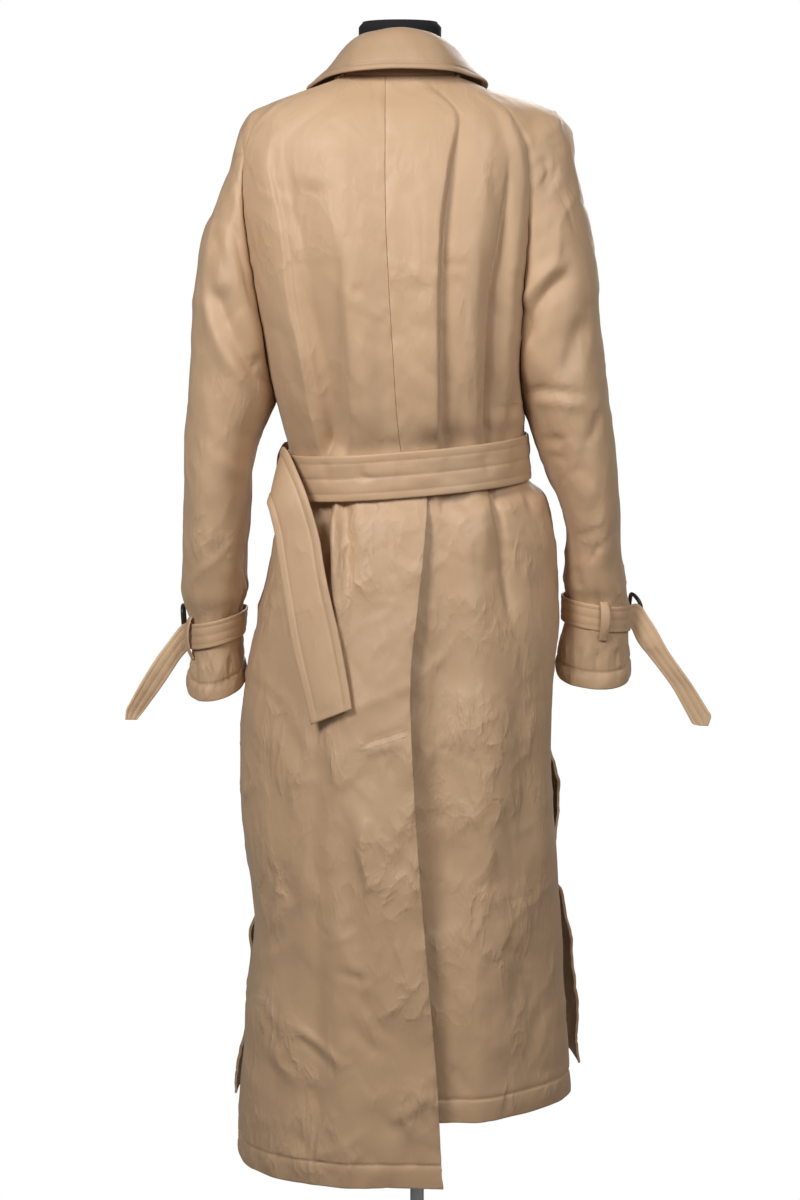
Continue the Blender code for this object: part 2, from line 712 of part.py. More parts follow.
def half_row(seam_point, top, depth, face, share, steps):
    """Half a sleeve row, from a raglan seam up to the overarm seam."""
    sign = -1.0 if face == "back" else 1.0
    round_share = ease((0.95 - share) / 0.75)
    swing = (depth - 0.2 * abs(seam_point.y)) / 0.73
    turn_in = Vector((top.x, sign * mix(0.55 * abs(seam_point.y), swing, round_share), top.z))
    over = seam_point + (turn_in - seam_point) * 0.4
    around = Vector((seam_point.x, sign * swing, seam_point.z))
    return arc(seam_point, mix(over, around, round_share), turn_in, top, steps)


def tube_point(side, share_down, turn):
    """Point of the lower sleeve. `turn` runs 0 inner side, 0.25 back, 0.5 outer side, 0.75 front."""
    table = SLEEVE[side]
    index = min(int(share_down), len(table) - 2)
    part = share_down - index
    size = {name: mix(table[index][name], table[index + 1][name], part)
            for name in table[0] if name != "name"}
    inner = Vector((size["in_x"], size["forward"], size["in_z"]))
    outer = Vector((size["out_x"], size["forward"], size["out_z"]))
    swing = (Vector((0, -size["depth"], -size["drop"])) if turn <= 0.5
             else Vector((0, size["depth"], 0))) / 0.75
    t = turn * 2 if turn <= 0.5 else (1 - turn) * 2
    s = 1 - t
    return (inner * s ** 3 + (inner + swing) * (3 * s * s * t)
            + (outer + swing) * (3 * s * t * t) + outer * t ** 3)


def tube_normal(side, share_down, turn):
    step = 0.01
    last = len(SLEEVE[side]) - 1
    low, high = max(share_down - 0.2, 0), min(share_down + 0.2, last)
    down = tube_point(side, high, turn) - tube_point(side, low, turn)
    before = tube_point(side, share_down, (turn - step) % 1.0)
    after = tube_point(side, share_down, (turn + step) % 1.0)
    normal = unit(down.cross(after - before))
    middle = (tube_point(side, share_down, 0) + tube_point(side, share_down, 0.5)) / 2
    outward = tube_point(side, share_down, turn) - middle
    return normal if normal.dot(outward) > 0 else -normal


def inside_of(row, index):
    """A point inside a sleeve row; the first rows arch over the shoulder, so it lies below them."""
    middle = (row[0] + row[len(row) // 2] + row[-1]) / 3
    return middle - Vector((0, 0, 0.05)) if index < 4 else middle


def share_seam_normals(body, sleeve_rows, column, beside):
    """Give both sides of a raglan seam one outward direction, which faces down at the underarm."""
    first = len(SKIRT_SHARES) + len(WAIST_HEIGHTS)
    last = len(sleeve_rows) - 1
    for r, row in enumerate(sleeve_rows):
        above, below = sleeve_rows[max(r - 1, 0)][column], sleeve_rows[min(r + 1, last)][column]
        sleeve_normal = unit((above - below).cross(row[beside] - row[column]))
        if sleeve_normal.dot(row[column] - inside_of(row, r)) < 0:
            sleeve_normal = -sleeve_normal
        point, body_normal = body[first + last - r][-1]
        down = Vector((0, 0, -1))
        if r < last:
            down = body_normal + sleeve_normal + down * ease(1 - RAGLAN_SHARES[last - r] / 0.3)
        body[first + last - r][-1] = (point, unit(down))


def sleeve_grid(side, back, front):
    """Rows of (point, outward direction) from the neck to the cuff, from back seam to front seam."""
    first = len(SKIRT_SHARES) + len(WAIST_HEIGHTS)
    half = SLEEVE_COLUMNS // 2
    points = []
    for offset in reversed(range(len(RAGLAN_SHARES))):
        share = RAGLAN_SHARES[offset]
        size = {name: value(SHOULDER[side], name, share) for name in ("out_x", "out_z", "depth")}
        top = Vector((size["out_x"], 0, size["out_z"]))
        rear = half_row(back[first + offset][-1][0], top, size["depth"], "back", share, half)
        fore = half_row(front[first + offset][-1][0], top, size["depth"], "front", share, half)
        points.append(rear + fore[-2::-1])
    raglan_rows = len(points)
    for index in range(1, len(SLEEVE[side])):
        points.append([tube_point(side, index, column / SLEEVE_COLUMNS)
                       for column in range(SLEEVE_COLUMNS + 1)])
    for body, column, beside in ((back, 0, 1), (front, -1, -2)):
        share_seam_normals(body, points[:raglan_rows], column, beside)
    grid = []
    for r, row in enumerate(points):
        middle = inside_of(row, r)
        above, below = points[max(r - 1, 0)], points[min(r + 1, len(points) - 1)]
        out_row = []
        for c, point in enumerate(row):
            if r < raglan_rows and c in (0, SLEEVE_COLUMNS):
                seam = back if c == 0 else front
                out_row.append((point, seam[first + raglan_rows - 1 - r][-1][1]))
                continue
            if r >= raglan_rows and c in (0, SLEEVE_COLUMNS):
                before, after = row[SLEEVE_COLUMNS - 1], row[1]
            else:
                before, after = row[c - 1], row[c + 1]
            normal = unit((below[c] - above[c]).cross(after - before))
            if normal.dot(point - middle) < 0:
                normal = -normal
            out_row.append((point, normal))
        grid.append(out_row)
    return grid, raglan_rows


def sleeve_half(side, face, grid, raglan_rows, body):
    """One half of a sleeve, pulled back from its seams."""
    half = SLEEVE_COLUMNS // 2
    columns = range(half + 1) if face == "back" else range(SLEEVE_COLUMNS, half - 1, -1)
    piece = []
    first = len(SKIRT_SHARES) + len(WAIST_HEIGHTS)
    for r, row in enumerate(grid):
        cut = [row[c] for c in columns]
        seam_point, seam_normal = cut[0]
        shift = Vector((0, 0, 0))
        if r >= raglan_rows - 1:
            shift += unit(cut[1][0] - seam_point) * (SEAM_GAP / 2)
        if r < raglan_rows:
            shift += seam_side(body, first + raglan_rows - 1 - r, side, face) * (SEAM_GAP / 2)
        over_point, over_normal = cut[-1]
        back_off = unit(cut[-2][0] - over_point) * (SEAM_GAP / 2)
        cut[0] = (seam_point + shift, seam_normal)
        cut[-1] = (over_point + back_off, over_normal)
        piece.append(cut)
    return piece[::-1]


# ---- collar -------------------------------------------------------------------------------------
COLLAR = rows_of(
    "angle  roll     roll_z  reach   edge_z  puff",
    (-90.0, 0.0600, 1.4150, 0.1370, 1.3050, 0.0110),
    (-60.0, 0.0580, 1.4180, 0.1340, 1.3320, 0.0110),
    (-35.0, 0.0550, 1.4260, 0.1110, 1.3900, 0.0060),
    (0.0,   0.0525, 1.4390, 0.0965, 1.4040, 0.0010),
    (30.0,  0.0530, 1.4490, 0.0890, 1.4080, 0.0020),
    (60.0,  0.0570, 1.4555, 0.0955, 1.4120, 0.0035),
    (90.0,  0.0600, 1.4590, 0.0930, 1.4130, 0.0035),
    (120.0, 0.0570, 1.4555, 0.0965, 1.4110, 0.0035),
    (150.0, 0.0530, 1.4490, 0.0920, 1.4070, 0.0020),
    (180.0, 0.0525, 1.4390, 0.1025, 1.3975, 0.0010),
    (196.0, 0.0532, 1.4345, 0.1080, 1.3960, 0.0030),
    (215.0, 0.0550, 1.4260, 0.1190, 1.3840, 0.0060),
    (240.0, 0.0580, 1.4180, 0.1350, 1.3320, 0.0110),
    (270.0, 0.0600, 1.4150, 0.1370, 1.3050, 0.0110),
)
COLLAR_COLUMNS = 26
COLLAR_ROLL_END = 84.0       # the roll line ends this far before or past the sides, at the front
COLLAR_POINT_END = 66.0      # and the points of the leaf here


def around_neck(angle, radius, z):
    c, s = math.cos(math.radians(angle)), math.sin(math.radians(angle))
    return Vector((BODY_X + radius * c, -radius * s, z))


def build_collar_leaf(material):
    grid = [[], [], [], []]
    for column in range(COLLAR_COLUMNS + 1):
        share = column / COLLAR_COLUMNS
        roll_angle = mix(180 + COLLAR_ROLL_END, -COLLAR_ROLL_END, share)
        edge_angle = mix(180 + COLLAR_POINT_END, -COLLAR_POINT_END, share)
        top = around_neck(roll_angle, value(COLLAR, "roll", roll_angle),
                          value(COLLAR, "roll_z", roll_angle))
        edge = around_neck(edge_angle, value(COLLAR, "reach", edge_angle),
                           value(COLLAR, "edge_z", edge_angle))
        outward = unit(Vector((edge.x - top.x, edge.y - top.y, 0)))
        up = Vector((0, 0, 1))
        fall = unit(edge - top)
        face = unit(up - fall * up.dot(fall))
        over = top + outward * 0.007 - up * 0.0025
        grid[0].append((top, up))
        grid[1].append((over, unit(up + outward * 0.7)))
        puff = face * value(COLLAR, "puff", roll_angle)
        grid[2].append((mix(over, edge, 0.5) + puff, face))
        grid[3].append((edge, face))
    return cloth_wall("collar_leaf", grid, material)


def build_collar_stand(neck, material):
    """The stand rises from the neck seam to the roll line. Its face side looks at the neck."""
    face_rows, back_rows = [[], [], []], [[], [], []]
    up = Vector((0, 0, 1))
    for index, (point, normal) in enumerate(neck):
        along = neck[min(index + 1, len(neck) - 1)][0] - neck[max(index - 1, 0)][0]
        lift = unit(normal.cross(along)) * 0.0008
        if lift.dot(Vector((BODY_X, 0, point.z + 0.02)) - point) < 0:
            lift = -lift
        angle = math.degrees(math.atan2(-point.y, point.x - BODY_X))
        if angle < -90:
            angle += 360
        angle = min(180 + COLLAR_ROLL_END, max(-COLLAR_ROLL_END, angle))
        roll = value(COLLAR, "roll", angle) - LAP_GAP
        top = around_neck(angle, roll, value(COLLAR, "roll_z", angle))
        bend = around_neck(angle, roll - 0.0045, top.z - 0.0045)
        outward = unit(Vector((top.x - BODY_X, top.y, 0)))
        face_rows[0].append(point - normal * WALL + lift)
        back_rows[0].append(point + lift)
        face_rows[1].append(bend)
        back_rows[1].append(bend + outward * WALL)
        face_rows[2].append(top)
        back_rows[2].append(top - up * WALL)
    return wall("collar_stand", face_rows, back_rows, material)


# ---- belt ---------------------------------------------------------------------------------------
BELT_COLUMNS = 52
KNOT_ANGLES = (198.0, 202.0, 206.0, 210.0, 214.0)
KNOT_PROFILE = rows_of(
    "out     rise",
    (0.0010, 0.0256),
    (0.0080, 0.0295),
    (0.0150, 0.0200),
    (0.0175, 0.0000),
    (0.0150, -0.0200),
    (0.0080, -0.0295),
    (0.0010, -0.0256),
)
TAIL_WALL = 0.0030
# The two free ends. Both leave the knot edgeways, one at each side, and then turn down.
# The first column pair is the edge that is below at the knot, the second the one above.
BACK_TAIL = rows_of(
    "low_x    low_y    low_z   top_x    top_y    top_z",
    (-0.1452, 0.0496, 0.9560, -0.1452, 0.0496, 0.9900),
    (-0.1496, 0.0379, 0.9530, -0.1496, 0.0379, 0.9930),
    (-0.1535, 0.0108, 0.9510, -0.1534, 0.0108, 0.9970),
    (-0.1565, -0.0200, 0.9500, -0.1528, -0.0210, 1.0020),
    (-0.1620, -0.0460, 0.9500, -0.1490, -0.0480, 1.0070),
    (-0.1662, -0.0740, 0.9480, -0.1400, -0.0760, 0.9990),
    (-0.1625, -0.0910, 0.9380, -0.1225, -0.1090, 0.9640),
    (-0.1565, -0.1010, 0.9140, -0.1080, -0.1240, 0.9180),
    (-0.1525, -0.1090, 0.8860, -0.1022, -0.1310, 0.8860),
    (-0.1460, -0.1190, 0.8470, -0.0938, -0.1390, 0.8470),
    (-0.1389, -0.1290, 0.8050, -0.0842, -0.1470, 0.8050),
    (-0.1262, -0.1400, 0.7520, -0.0745, -0.1570, 0.7520),
    (-0.1172, -0.1450, 0.7133, -0.0718, -0.1600, 0.7337),
)
FRONT_TAIL = rows_of(
    "low_x    low_y    low_z   top_x    top_y    top_z",
    (-0.1390, 0.0598, 0.9570, -0.1390, 0.0598, 0.9900),
    (-0.1302, 0.0735, 0.9540, -0.1302, 0.0735, 0.9920),
    (-0.1355, 0.0810, 0.9400, -0.1222, 0.0835, 0.9900),
    (-0.1470, 0.0800, 0.9150, -0.1190, 0.0965, 0.9560),
    (-0.1520, 0.0830, 0.8700, -0.1290, 0.1280, 0.8750),
    (-0.1550, 0.1000, 0.8000, -0.1310, 0.1450, 0.8000),
    (-0.1590, 0.1150, 0.7300, -0.1340, 0.1590, 0.7300),
)


def belt_stand_off(angle):
    """The belt lies on the body, and bridges the overlap of the fronts."""
    away = abs(angle % 360 - 275.0)
    return LAP_GAP + LAP_OUT * ease((55.0 - away) / 20.0)


def build_belt(material):
    outer, inner = [], []
    for z in (BELT_BOTTOM_Z, BELT_BOTTOM_Z + BELT_WIDTH):
        outer.append([])
        inner.append([])
        for column in range(BELT_COLUMNS):
            angle = 360.0 * column / BELT_COLUMNS
            point, normal = section_point(angle, z), section_normal(angle, z)
            normal = unit(Vector((normal.x, normal.y, 0)))
            inner[-1].append(point + normal * belt_stand_off(angle))
            outer[-1].append(point + normal * (belt_stand_off(angle) + BELT_WALL))
    return wall("belt", outer, inner, material, ring=True)


def build_belt_knot(material):
    """The wrap of the tie, round the belt at the wearer's left side."""
    middle_z = BELT_BOTTOM_Z + BELT_WIDTH / 2
    outer, inner = [], []
    for size in KNOT_PROFILE:
        outer.append([])
        inner.append([])
        for angle in KNOT_ANGLES:
            normal = section_normal(angle, middle_z)
            normal = unit(Vector((normal.x, normal.y, 0)))
            point = section_point(angle, middle_z) + normal * (belt_stand_off(angle) + size["out"])
            point.z += size["rise"]
            profile_out = unit(normal * max(size["out"] - 0.001, 0.002)
                               + Vector((0, 0, size["rise"] * 0.45)))
            inner[-1].append(point)
            outer[-1].append(point + profile_out * WALL)
    return wall("belt_knot", outer, inner, material)


def build_tail(name, table, material, toward):
    """A hanging belt end, as a wall between two edges. `toward` is the way its outer face looks."""
    pairs = [(Vector((size["low_x"], size["low_y"], size["low_z"])),
              Vector((size["top_x"], size["top_y"], size["top_z"]))) for size in table]
    grid = []
    for index, (low, top) in enumerate(pairs):
        before, after = pairs[max(index - 1, 0)], pairs[min(index + 1, len(pairs) - 1)]
        along = (after[0] + after[1] - before[0] - before[1]) / 2
        normal = unit(along.cross(top - low))
        if normal.dot(toward) < 0:
            normal = -normal
        middle = (low + top) / 2 + normal * 0.0015
        grid.append([(low, normal), (middle, normal), (top, normal)])
    return cloth_wall(name, grid, material, TAIL_WALL)


# ---- cuff straps, loops and buckles ---------------------------------------------------------------
STRAP_PLACE = {"top": 8.0, "bottom": 9.0}      # sleeve rows of the strap's two edges
STRAP_START = 0.560          # the strap starts here, goes round, and leaves the sleeve at its end
STRAP_LEAVES = 0.460
STRAP_STEPS = 20
STRAP_WIDTH = 0.0295
STRAP_GAP = 0.0010           # between the gathered sleeve and the strap
# The free ends stick out stiffly: their upper and lower edges, to the cut tip.
STRAP_ENDS = {
    "left": rows_of(
        "top_x    top_z   top_y   low_x    low_z   low_y",
        (-0.2660, 0.8000, 0.0090, -0.2605, 0.7705, 0.0090),
        (-0.2841, 0.7791, 0.0070, -0.2690, 0.7610, 0.0120),
        (-0.3120, 0.7386, 0.0040, -0.2915, 0.7275, 0.0150),
        (-0.3315, 0.7035, 0.0030, -0.3130, 0.6985, 0.0150),
        (-0.3340, 0.6895, 0.0050, -0.3215, 0.6880, 0.0120)),
    "right": rows_of(
        "top_x   top_z   top_y   low_x   low_z   low_y",
        (0.2480, 0.8235, 0.0080, 0.2420, 0.7950, 0.0080),
        (0.2640, 0.8055, 0.0060, 0.2500, 0.7800, 0.0100),
        (0.2842, 0.7713, 0.0040, 0.2640, 0.7615, 0.0130),
        (0.3128, 0.7307, 0.0030, 0.2916, 0.7250, 0.0140),
        (0.3350, 0.6955, 0.0030, 0.3145, 0.6840, 0.0140),
        (0.3325, 0.6820, 0.0060, 0.3230, 0.6815, 0.0110)),
}
LOOP_TURNS = {"left": 0.405, "right": 0.270}
LOOP_WIDTH = 0.0105


def strap_ring(side, turn):
    """Bottom and top edge of the strap's inner face, and the outward direction, at a turn."""
    low = tube_point(side, STRAP_PLACE["bottom"], turn)
    high = tube_point(side, STRAP_PLACE["top"], turn)
    normal = tube_normal(side, STRAP_PLACE["bottom"] - 0.5, turn)
    normal = unit(Vector((normal.x, normal.y, 0)))
    middle = (low + high) / 2
    half = unit(high - low) * (STRAP_WIDTH / 2)
    return middle - half, middle + half, normal


def build_cuff_strap(side, material):
    """One strip: round the sleeve from beside the buckle, and out through it to a pointed end."""
    outer, inner = [], []
    turns = [STRAP_START + (1 - STRAP_START + STRAP_LEAVES) * step / STRAP_STEPS
             for step in range(STRAP_STEPS + 1)]
    for turn in turns:
        low, high, normal = strap_ring(side, turn % 1.0)
        gap = normal * STRAP_GAP
        thick = normal * (STRAP_GAP + STRAP_WALL)
        inner.append([low + gap, high + gap])
        outer.append([low + thick, high + thick])
    pairs = [(Vector((e["low_x"], e["low_y"], e["low_z"])), Vector((e["top_x"], e["top_y"], e["top_z"])))
             for e in STRAP_ENDS[side]]
    for index, (low, high) in enumerate(pairs):
        before, after = pairs[max(index - 1, 0)], pairs[min(index + 1, len(pairs) - 1)]
        along = (after[0] + after[1] - before[0] - before[1]) / 2
        normal = unit(along.cross(high - low))
        if normal.y > 0:
            normal = -normal
        thick = normal * (STRAP_WALL / 2)
        inner.append([low - thick, high - thick])
        outer.append([low + thick, high + thick])
    return wall("cuff_strap_" + side, outer, inner, material)


def build_strap_loop(side, material):
    """The narrow keeper loop over the strap, sewn to the sleeve above and below it."""
    reach = rows_of(
        "row     out",
        (7.82, 0.0009),
        (7.91, 0.0032),
        (8.00, 0.0050),
        (9.00, 0.0050),
        (9.12, 0.0032),
        (9.30, 0.0009))
    half_turn = 0.5 * LOOP_WIDTH / 0.27
    outer, inner = [], []
    for size in reach:
        outer.append([])
        inner.append([])
        for turn in (LOOP_TURNS[side] - half_turn, LOOP_TURNS[side] + half_turn):
            normal = strap_ring(side, turn)[2]
            point = tube_point(side, size["row"], turn) + normal * size["out"]
            inner[-1].append(point)
            outer[-1].append(point + normal * 0.0015)
    return wall("strap_loop_" + side, outer, inner, material)


BUCKLE_ACROSS = 0.0420       # between the middles of its bars, as are the next two
BUCKLE_ALONG = 0.0220
BUCKLE_ROUND = 0.0090
BUCKLE_BAR = 0.0024
# Where each frame's middle is, which way its short side runs, and which way its long side runs.
BUCKLE_PLACE = {
    "left": {"middle": (-0.2668, 0.0242, 0.7975), "run": (0.0, -1.0, 0.0), "across": (-0.06, 0.0, 1.0)},
    "right": {"middle": (0.2490, 0.0288, 0.8140), "run": (0.50, -0.62, -0.60), "across": (0.0, -0.69, 0.72)},
}


def build_buckle(side, material):
    """A rounded frame at the strap's start. The strap's other end leaves over its near bar."""
    place = BUCKLE_PLACE[side]
    centre = Vector(place["middle"])
    run = unit(Vector(place["run"]))
    across = Vector(place["across"])
    across = unit(across - run * across.dot(run))
    rise = unit(run.cross(across))
    path = []
    corners = ((1, 1, 0), (-1, 1, 90), (-1, -1, 180), (1, -1, 270))
    for u, v, begin in corners:
        for step in range(5):
            turn = math.radians(begin + 90 * step / 4)
            a = u * (BUCKLE_ACROSS / 2 - BUCKLE_ROUND) + BUCKLE_ROUND * math.cos(turn)
            b = v * (BUCKLE_ALONG / 2 - BUCKLE_ROUND) + BUCKLE_ROUND * math.sin(turn)
            path.append((a, b))
    verts, faces, sides = [], [], 8
    count = len(path)
    for index, (a, b) in enumerate(path):
        before, later = path[index - 1], path[(index + 1) % count]
        tangent = Vector((later[0] - before[0], later[1] - before[1], 0)).normalized()
        outward = across * tangent.y - run * tangent.x
        for step in range(sides):
            turn = 2 * math.pi * step / sides
            offset = outward * math.cos(turn) * BUCKLE_BAR + rise * math.sin(turn) * BUCKLE_BAR
            verts.append(centre + across * a + run * b + offset)
        for step in range(sides):
            nxt = (step + 1) % sides
            far = (index + 1) % count
            faces.append((index * sides + step, index * sides + nxt, far * sides + nxt, far * sides + step))
    return new_object("buckle_" + side, verts, faces, material)


# ---- form and stand -----------------------------------------------------------------------------
FORM = rows_of(
    "z      half    back    front",
    (0.700, 0.1100, 0.0900, 0.0840),
    (0.712, 0.1240, 0.0990, 0.0930),
    (0.760, 0.1400, 0.1110, 0.1030),
    (0.820, 0.1450, 0.1150, 0.1050),
    (0.890, 0.1280, 0.1020, 0.0950),
    (0.975, 0.1080, 0.0860, 0.0840),
    (1.060, 0.1180, 0.0920, 0.0960),
    (1.150, 0.1300, 0.1040, 0.1130),
    (1.230, 0.1400, 0.1090, 0.1120),
    (1.290, 0.1500, 0.1060, 0.1000),
    (1.330, 0.1500, 0.0970, 0.0850),
    (1.355, 0.1400, 0.0870, 0.0740),
    (1.371, 0.1230, 0.0785, 0.0665),
    (1.3858, 0.0970, 0.0690, 0.0600),
    (1.3968, 0.0728, 0.0600, 0.0540),
    (1.4098, 0.0530, 0.0505, 0.0480),
    (1.425, 0.0462, 0.0458, 0.0450),
    (1.445, 0.0454, 0.0450, 0.0446),
    (1.462, 0.0455, 0.0450, 0.0445),
    (1.468, 0.0410, 0.0405, 0.0400),
)
FORM_COLUMNS = 32


def build_form(material):
    verts, faces = [], []
    rings = len(FORM)
    for size in FORM:
        for column in range(FORM_COLUMNS):
            turn = 2 * math.pi * column / FORM_COLUMNS
            depth = size["back"] if math.sin(turn) > 0 else size["front"]
            verts.append(Vector((BODY_X + size["half"] * math.cos(turn),
                                 -depth * math.sin(turn), size["z"])))
    for ring in range(rings - 1):
        for column in range(FORM_COLUMNS):
            nxt = (column + 1) % FORM_COLUMNS
            faces.append((ring * FORM_COLUMNS + column, ring * FORM_COLUMNS + nxt,
                          (ring + 1) * FORM_COLUMNS + nxt, (ring + 1) * FORM_COLUMNS + column))
    faces.append(tuple(range(FORM_COLUMNS)))
    faces.append(tuple(range((rings - 1) * FORM_COLUMNS, rings * FORM_COLUMNS)))
    return new_object("form_torso", verts, faces, material)


def turned(name, profile, segments, material):
    """A solid of revolution about Z, from (radius, z) pairs that start and end on the axis."""
    verts, faces, rings = [], [], []
    for radius, z in profile:
        if radius == 0:
            verts.append((0, 0, z))
            rings.append([len(verts) - 1] * segments)
        else:
            start = len(verts)
            for step in range(segments):
                turn = 2 * math.pi * step / segments
                verts.append((radius * math.cos(turn), radius * math.sin(turn), z))
            rings.append(list(range(start, start + segments)))
    for low, high in zip(rings, rings[1:]):
        for step in range(segments):
            nxt = (step + 1) % segments
            corners = [low[step], low[nxt], high[nxt], high[step]]
            face = [v for i, v in enumerate(corners) if v not in corners[:i]]
            if len(face) > 2:
                faces.append(tuple(face))
    return new_object(name, verts, faces, material)


# ---- assembly -----------------------------------------------------------------------------------
def plain_material(name, colour, roughness, metallic=0.0):
    material = bpy.data.materials.new(name)
    material.use_nodes = True
    shader = material.node_tree.nodes["Principled BSDF"]
    shader.inputs["Base Color"].default_value = (*colour, 1.0)
    shader.inputs["Roughness"].default_value = roughness
    shader.inputs["Metallic"].default_value = metallic
    return material


def build():
    for obj in list(bpy.data.objects):
        bpy.data.objects.remove(obj, do_unlink=True)
    cotton = plain_material("camel_cotton", (0.52, 0.36, 0.22), 0.62)
    horn = plain_material("dark_horn", (0.03, 0.02, 0.015), 0.35)
    jersey = plain_material("black_jersey", (0.012, 0.012, 0.013), 0.85)
    steel = plain_material("grey_steel", (0.42, 0.44, 0.47), 0.38, 0.9)

    bodies = {piece: body_grid(piece) for piece in PIECES}
    neck_parts = {}
    for side in ("left", "right"):
        back, front = bodies["back_" + side], bodies["front_" + side]
        grid, raglan_rows = sleeve_grid(side, back, front)
        for face, body in (("back", back), ("front", front)):
            half = sleeve_half(side, face, grid, raglan_rows, body)
            cloth_wall("sleeve_{}_{}".format(side, face), half, cotton)
        neck_parts[side] = grid[0]
    for piece, grid in bodies.items():
        cloth_wall(piece, trim_body(piece, [list(row) for row in grid]), cotton)

    def middle_column(piece, line):
        names = [name for name, _ in PIECES[piece][2]]
        return sum(count for name, count in PIECES[piece][2][:names.index(line)])

    left_front = bodies["front_left"][-1][middle_column("front_left", "front_middle") + 1:]
    right_front = bodies["front_right"][-1][middle_column("front_right", "lap_middle") + 1:]
    neck = (left_front + neck_parts["left"][-2:0:-1] + bodies["back_left"][-1][::-1]
            + bodies["back_right"][-1][1:] + neck_parts["right"][1:-1] + right_front[::-1])
    build_collar_stand(neck, cotton)
    build_collar_leaf(cotton)

    build_belt(cotton)
    build_belt_knot(cotton)
    build_tail("belt_tail_back", BACK_TAIL, cotton, Vector((-0.7, -1, 0)))
    build_tail("belt_tail_front", FRONT_TAIL, cotton, Vector((-1, 0.7, 0)))
    for side in ("left", "right"):
        build_cuff_strap(side, cotton)
        build_strap_loop(side, cotton)
        build_buckle(side, horn)

    build_form(jersey)
    form_bottom = FORM[0]["z"]
    turned("stand_pole", ((0, FOOT_HEIGHT + SEAM_GAP), (POLE_RADIUS, FOOT_HEIGHT + SEAM_GAP),
                          (POLE_RADIUS, form_bottom - SEAM_GAP), (0, form_bottom - SEAM_GAP)),
           20, steel)
    turned("stand_foot", ((0, 0), (FOOT_RADIUS - 0.003, 0), (FOOT_RADIUS, 0.003),
                          (FOOT_RADIUS, 0.007), (FOOT_RADIUS - 0.006, 0.0095),
                          (0.030, FOOT_HEIGHT), (0, FOOT_HEIGHT)), 48, steel)


build()
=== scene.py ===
import math

import bpy
import numpy as np
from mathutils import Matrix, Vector
from mathutils.bvhtree import BVHTree


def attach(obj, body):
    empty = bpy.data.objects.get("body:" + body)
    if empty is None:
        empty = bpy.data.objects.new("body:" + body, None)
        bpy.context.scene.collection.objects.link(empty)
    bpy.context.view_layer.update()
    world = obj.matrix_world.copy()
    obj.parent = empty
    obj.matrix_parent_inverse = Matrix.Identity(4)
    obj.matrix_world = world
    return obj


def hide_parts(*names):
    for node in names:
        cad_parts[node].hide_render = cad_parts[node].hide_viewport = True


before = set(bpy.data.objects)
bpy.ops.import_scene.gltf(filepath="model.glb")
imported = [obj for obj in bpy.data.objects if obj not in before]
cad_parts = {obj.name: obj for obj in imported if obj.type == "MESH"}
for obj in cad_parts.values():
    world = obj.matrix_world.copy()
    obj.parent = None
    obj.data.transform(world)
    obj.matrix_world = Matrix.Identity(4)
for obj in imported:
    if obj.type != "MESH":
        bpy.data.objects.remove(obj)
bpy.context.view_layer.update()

# The coat's back faces -Y and its front +Y, so the wearer's left is -X. Sizes are in metres, and
# the tables' lengths in millimetres.
wallThickness = 0.0030           # padded cotton, outer face to inner face
seamGap = 0.00012                # between two pieces sewn together
lapGap = 0.0007                  # between a piece and what lies on it
bodyX = -0.020                   # middle plane of the coat
underarmZ = 1.055
beltBottomZ = 0.9570
beltWidth = 0.050
beltTopZ = beltBottomZ + beltWidth
up = np.array((0.0, 0.0, 1.0))


# Columns that aren't lengths
plainColumns = ("angle", "share", "turn", "row", "name", "piece", "width", "length", "area", "held",
                "restsOn")


# A table from rows in millimetres: one array for each column, with the first column as the key
def rowsOf(columns, *rows):
    table = {}
    for name, *values in zip(columns.split(), *rows):
        column = np.array(values)
        table[name] = column if name in plainColumns else np.round(column / 1000, 7)
    table["key"] = table[columns.split()[0]]
    return table


def columnsOf(table, names):
    return np.stack([table[name] for name in names.split()], -1)


# Creases in millimetres. Each runs down through three places (x, z), with its width toward -X and
# toward +X, its depth (less than 0 sinks), and how many hundredths of its length fade in and fade
# out at its two ends.
def creasesOf(*rows):
    return np.round(np.array(rows) / ([1000] * 9 + [100] * 2), 7)


# A cubic between two values with their slopes
def cubic(a, b, slopeA, slopeB, width, s):
    return (a * (1 + 2 * s) * (1 - s) ** 2 + slopeA * width * s * (1 - s) ** 2
            + b * s * s * (3 - 2 * s) + slopeB * width * s * s * (s - 1))


# A curve from a to d, drawn toward b and c on its way
def bend(a, b, c, d, t):
    s = 1 - t
    return a * s ** 3 + b * 3 * s * s * t + c * 3 * s * t * t + d * t ** 3


# Smooth value of a column: the slopes at its rows never overshoot them
def along(table, name, at):
    keys, values = table["key"], table[name]
    at = np.clip(at, keys[0], keys[-1])
    steps = np.diff(values) / np.diff(keys)
    slopes = np.zeros(len(keys))
    slopes[0] = steps[0]
    product, total = steps[:-1] * steps[1:], steps[:-1] + steps[1:]
    slopes[1:-1] = np.where(product > 0, 2 * product / np.where(product > 0, total, 1.0), 0.0)
    i = np.clip(np.searchsorted(keys, at, side="left") - 1, 0, len(keys) - 2)
    width = keys[i + 1] - keys[i]
    return cubic(values[i], values[i + 1], slopes[i], slopes[i + 1], width, (at - keys[i]) / width)


def mix(a, b, share):
    return a + (b - a) * share


# 0 to 1 with level ends
def ease(share):
    share = np.clip(share, 0.0, 1.0)
    return share * share * (3 - 2 * share)


# 1 at a line, falling off to each side of it
def fading(away, width):
    return np.exp(-(away / width) ** 2)


def outside(value, low, high):
    return np.maximum(low - value, 0.0) + np.maximum(value - high, 0.0)


def unit(vectors):
    length = np.linalg.norm(vectors, axis=-1, keepdims=True)
    return vectors / np.maximum(length, 1e-9)


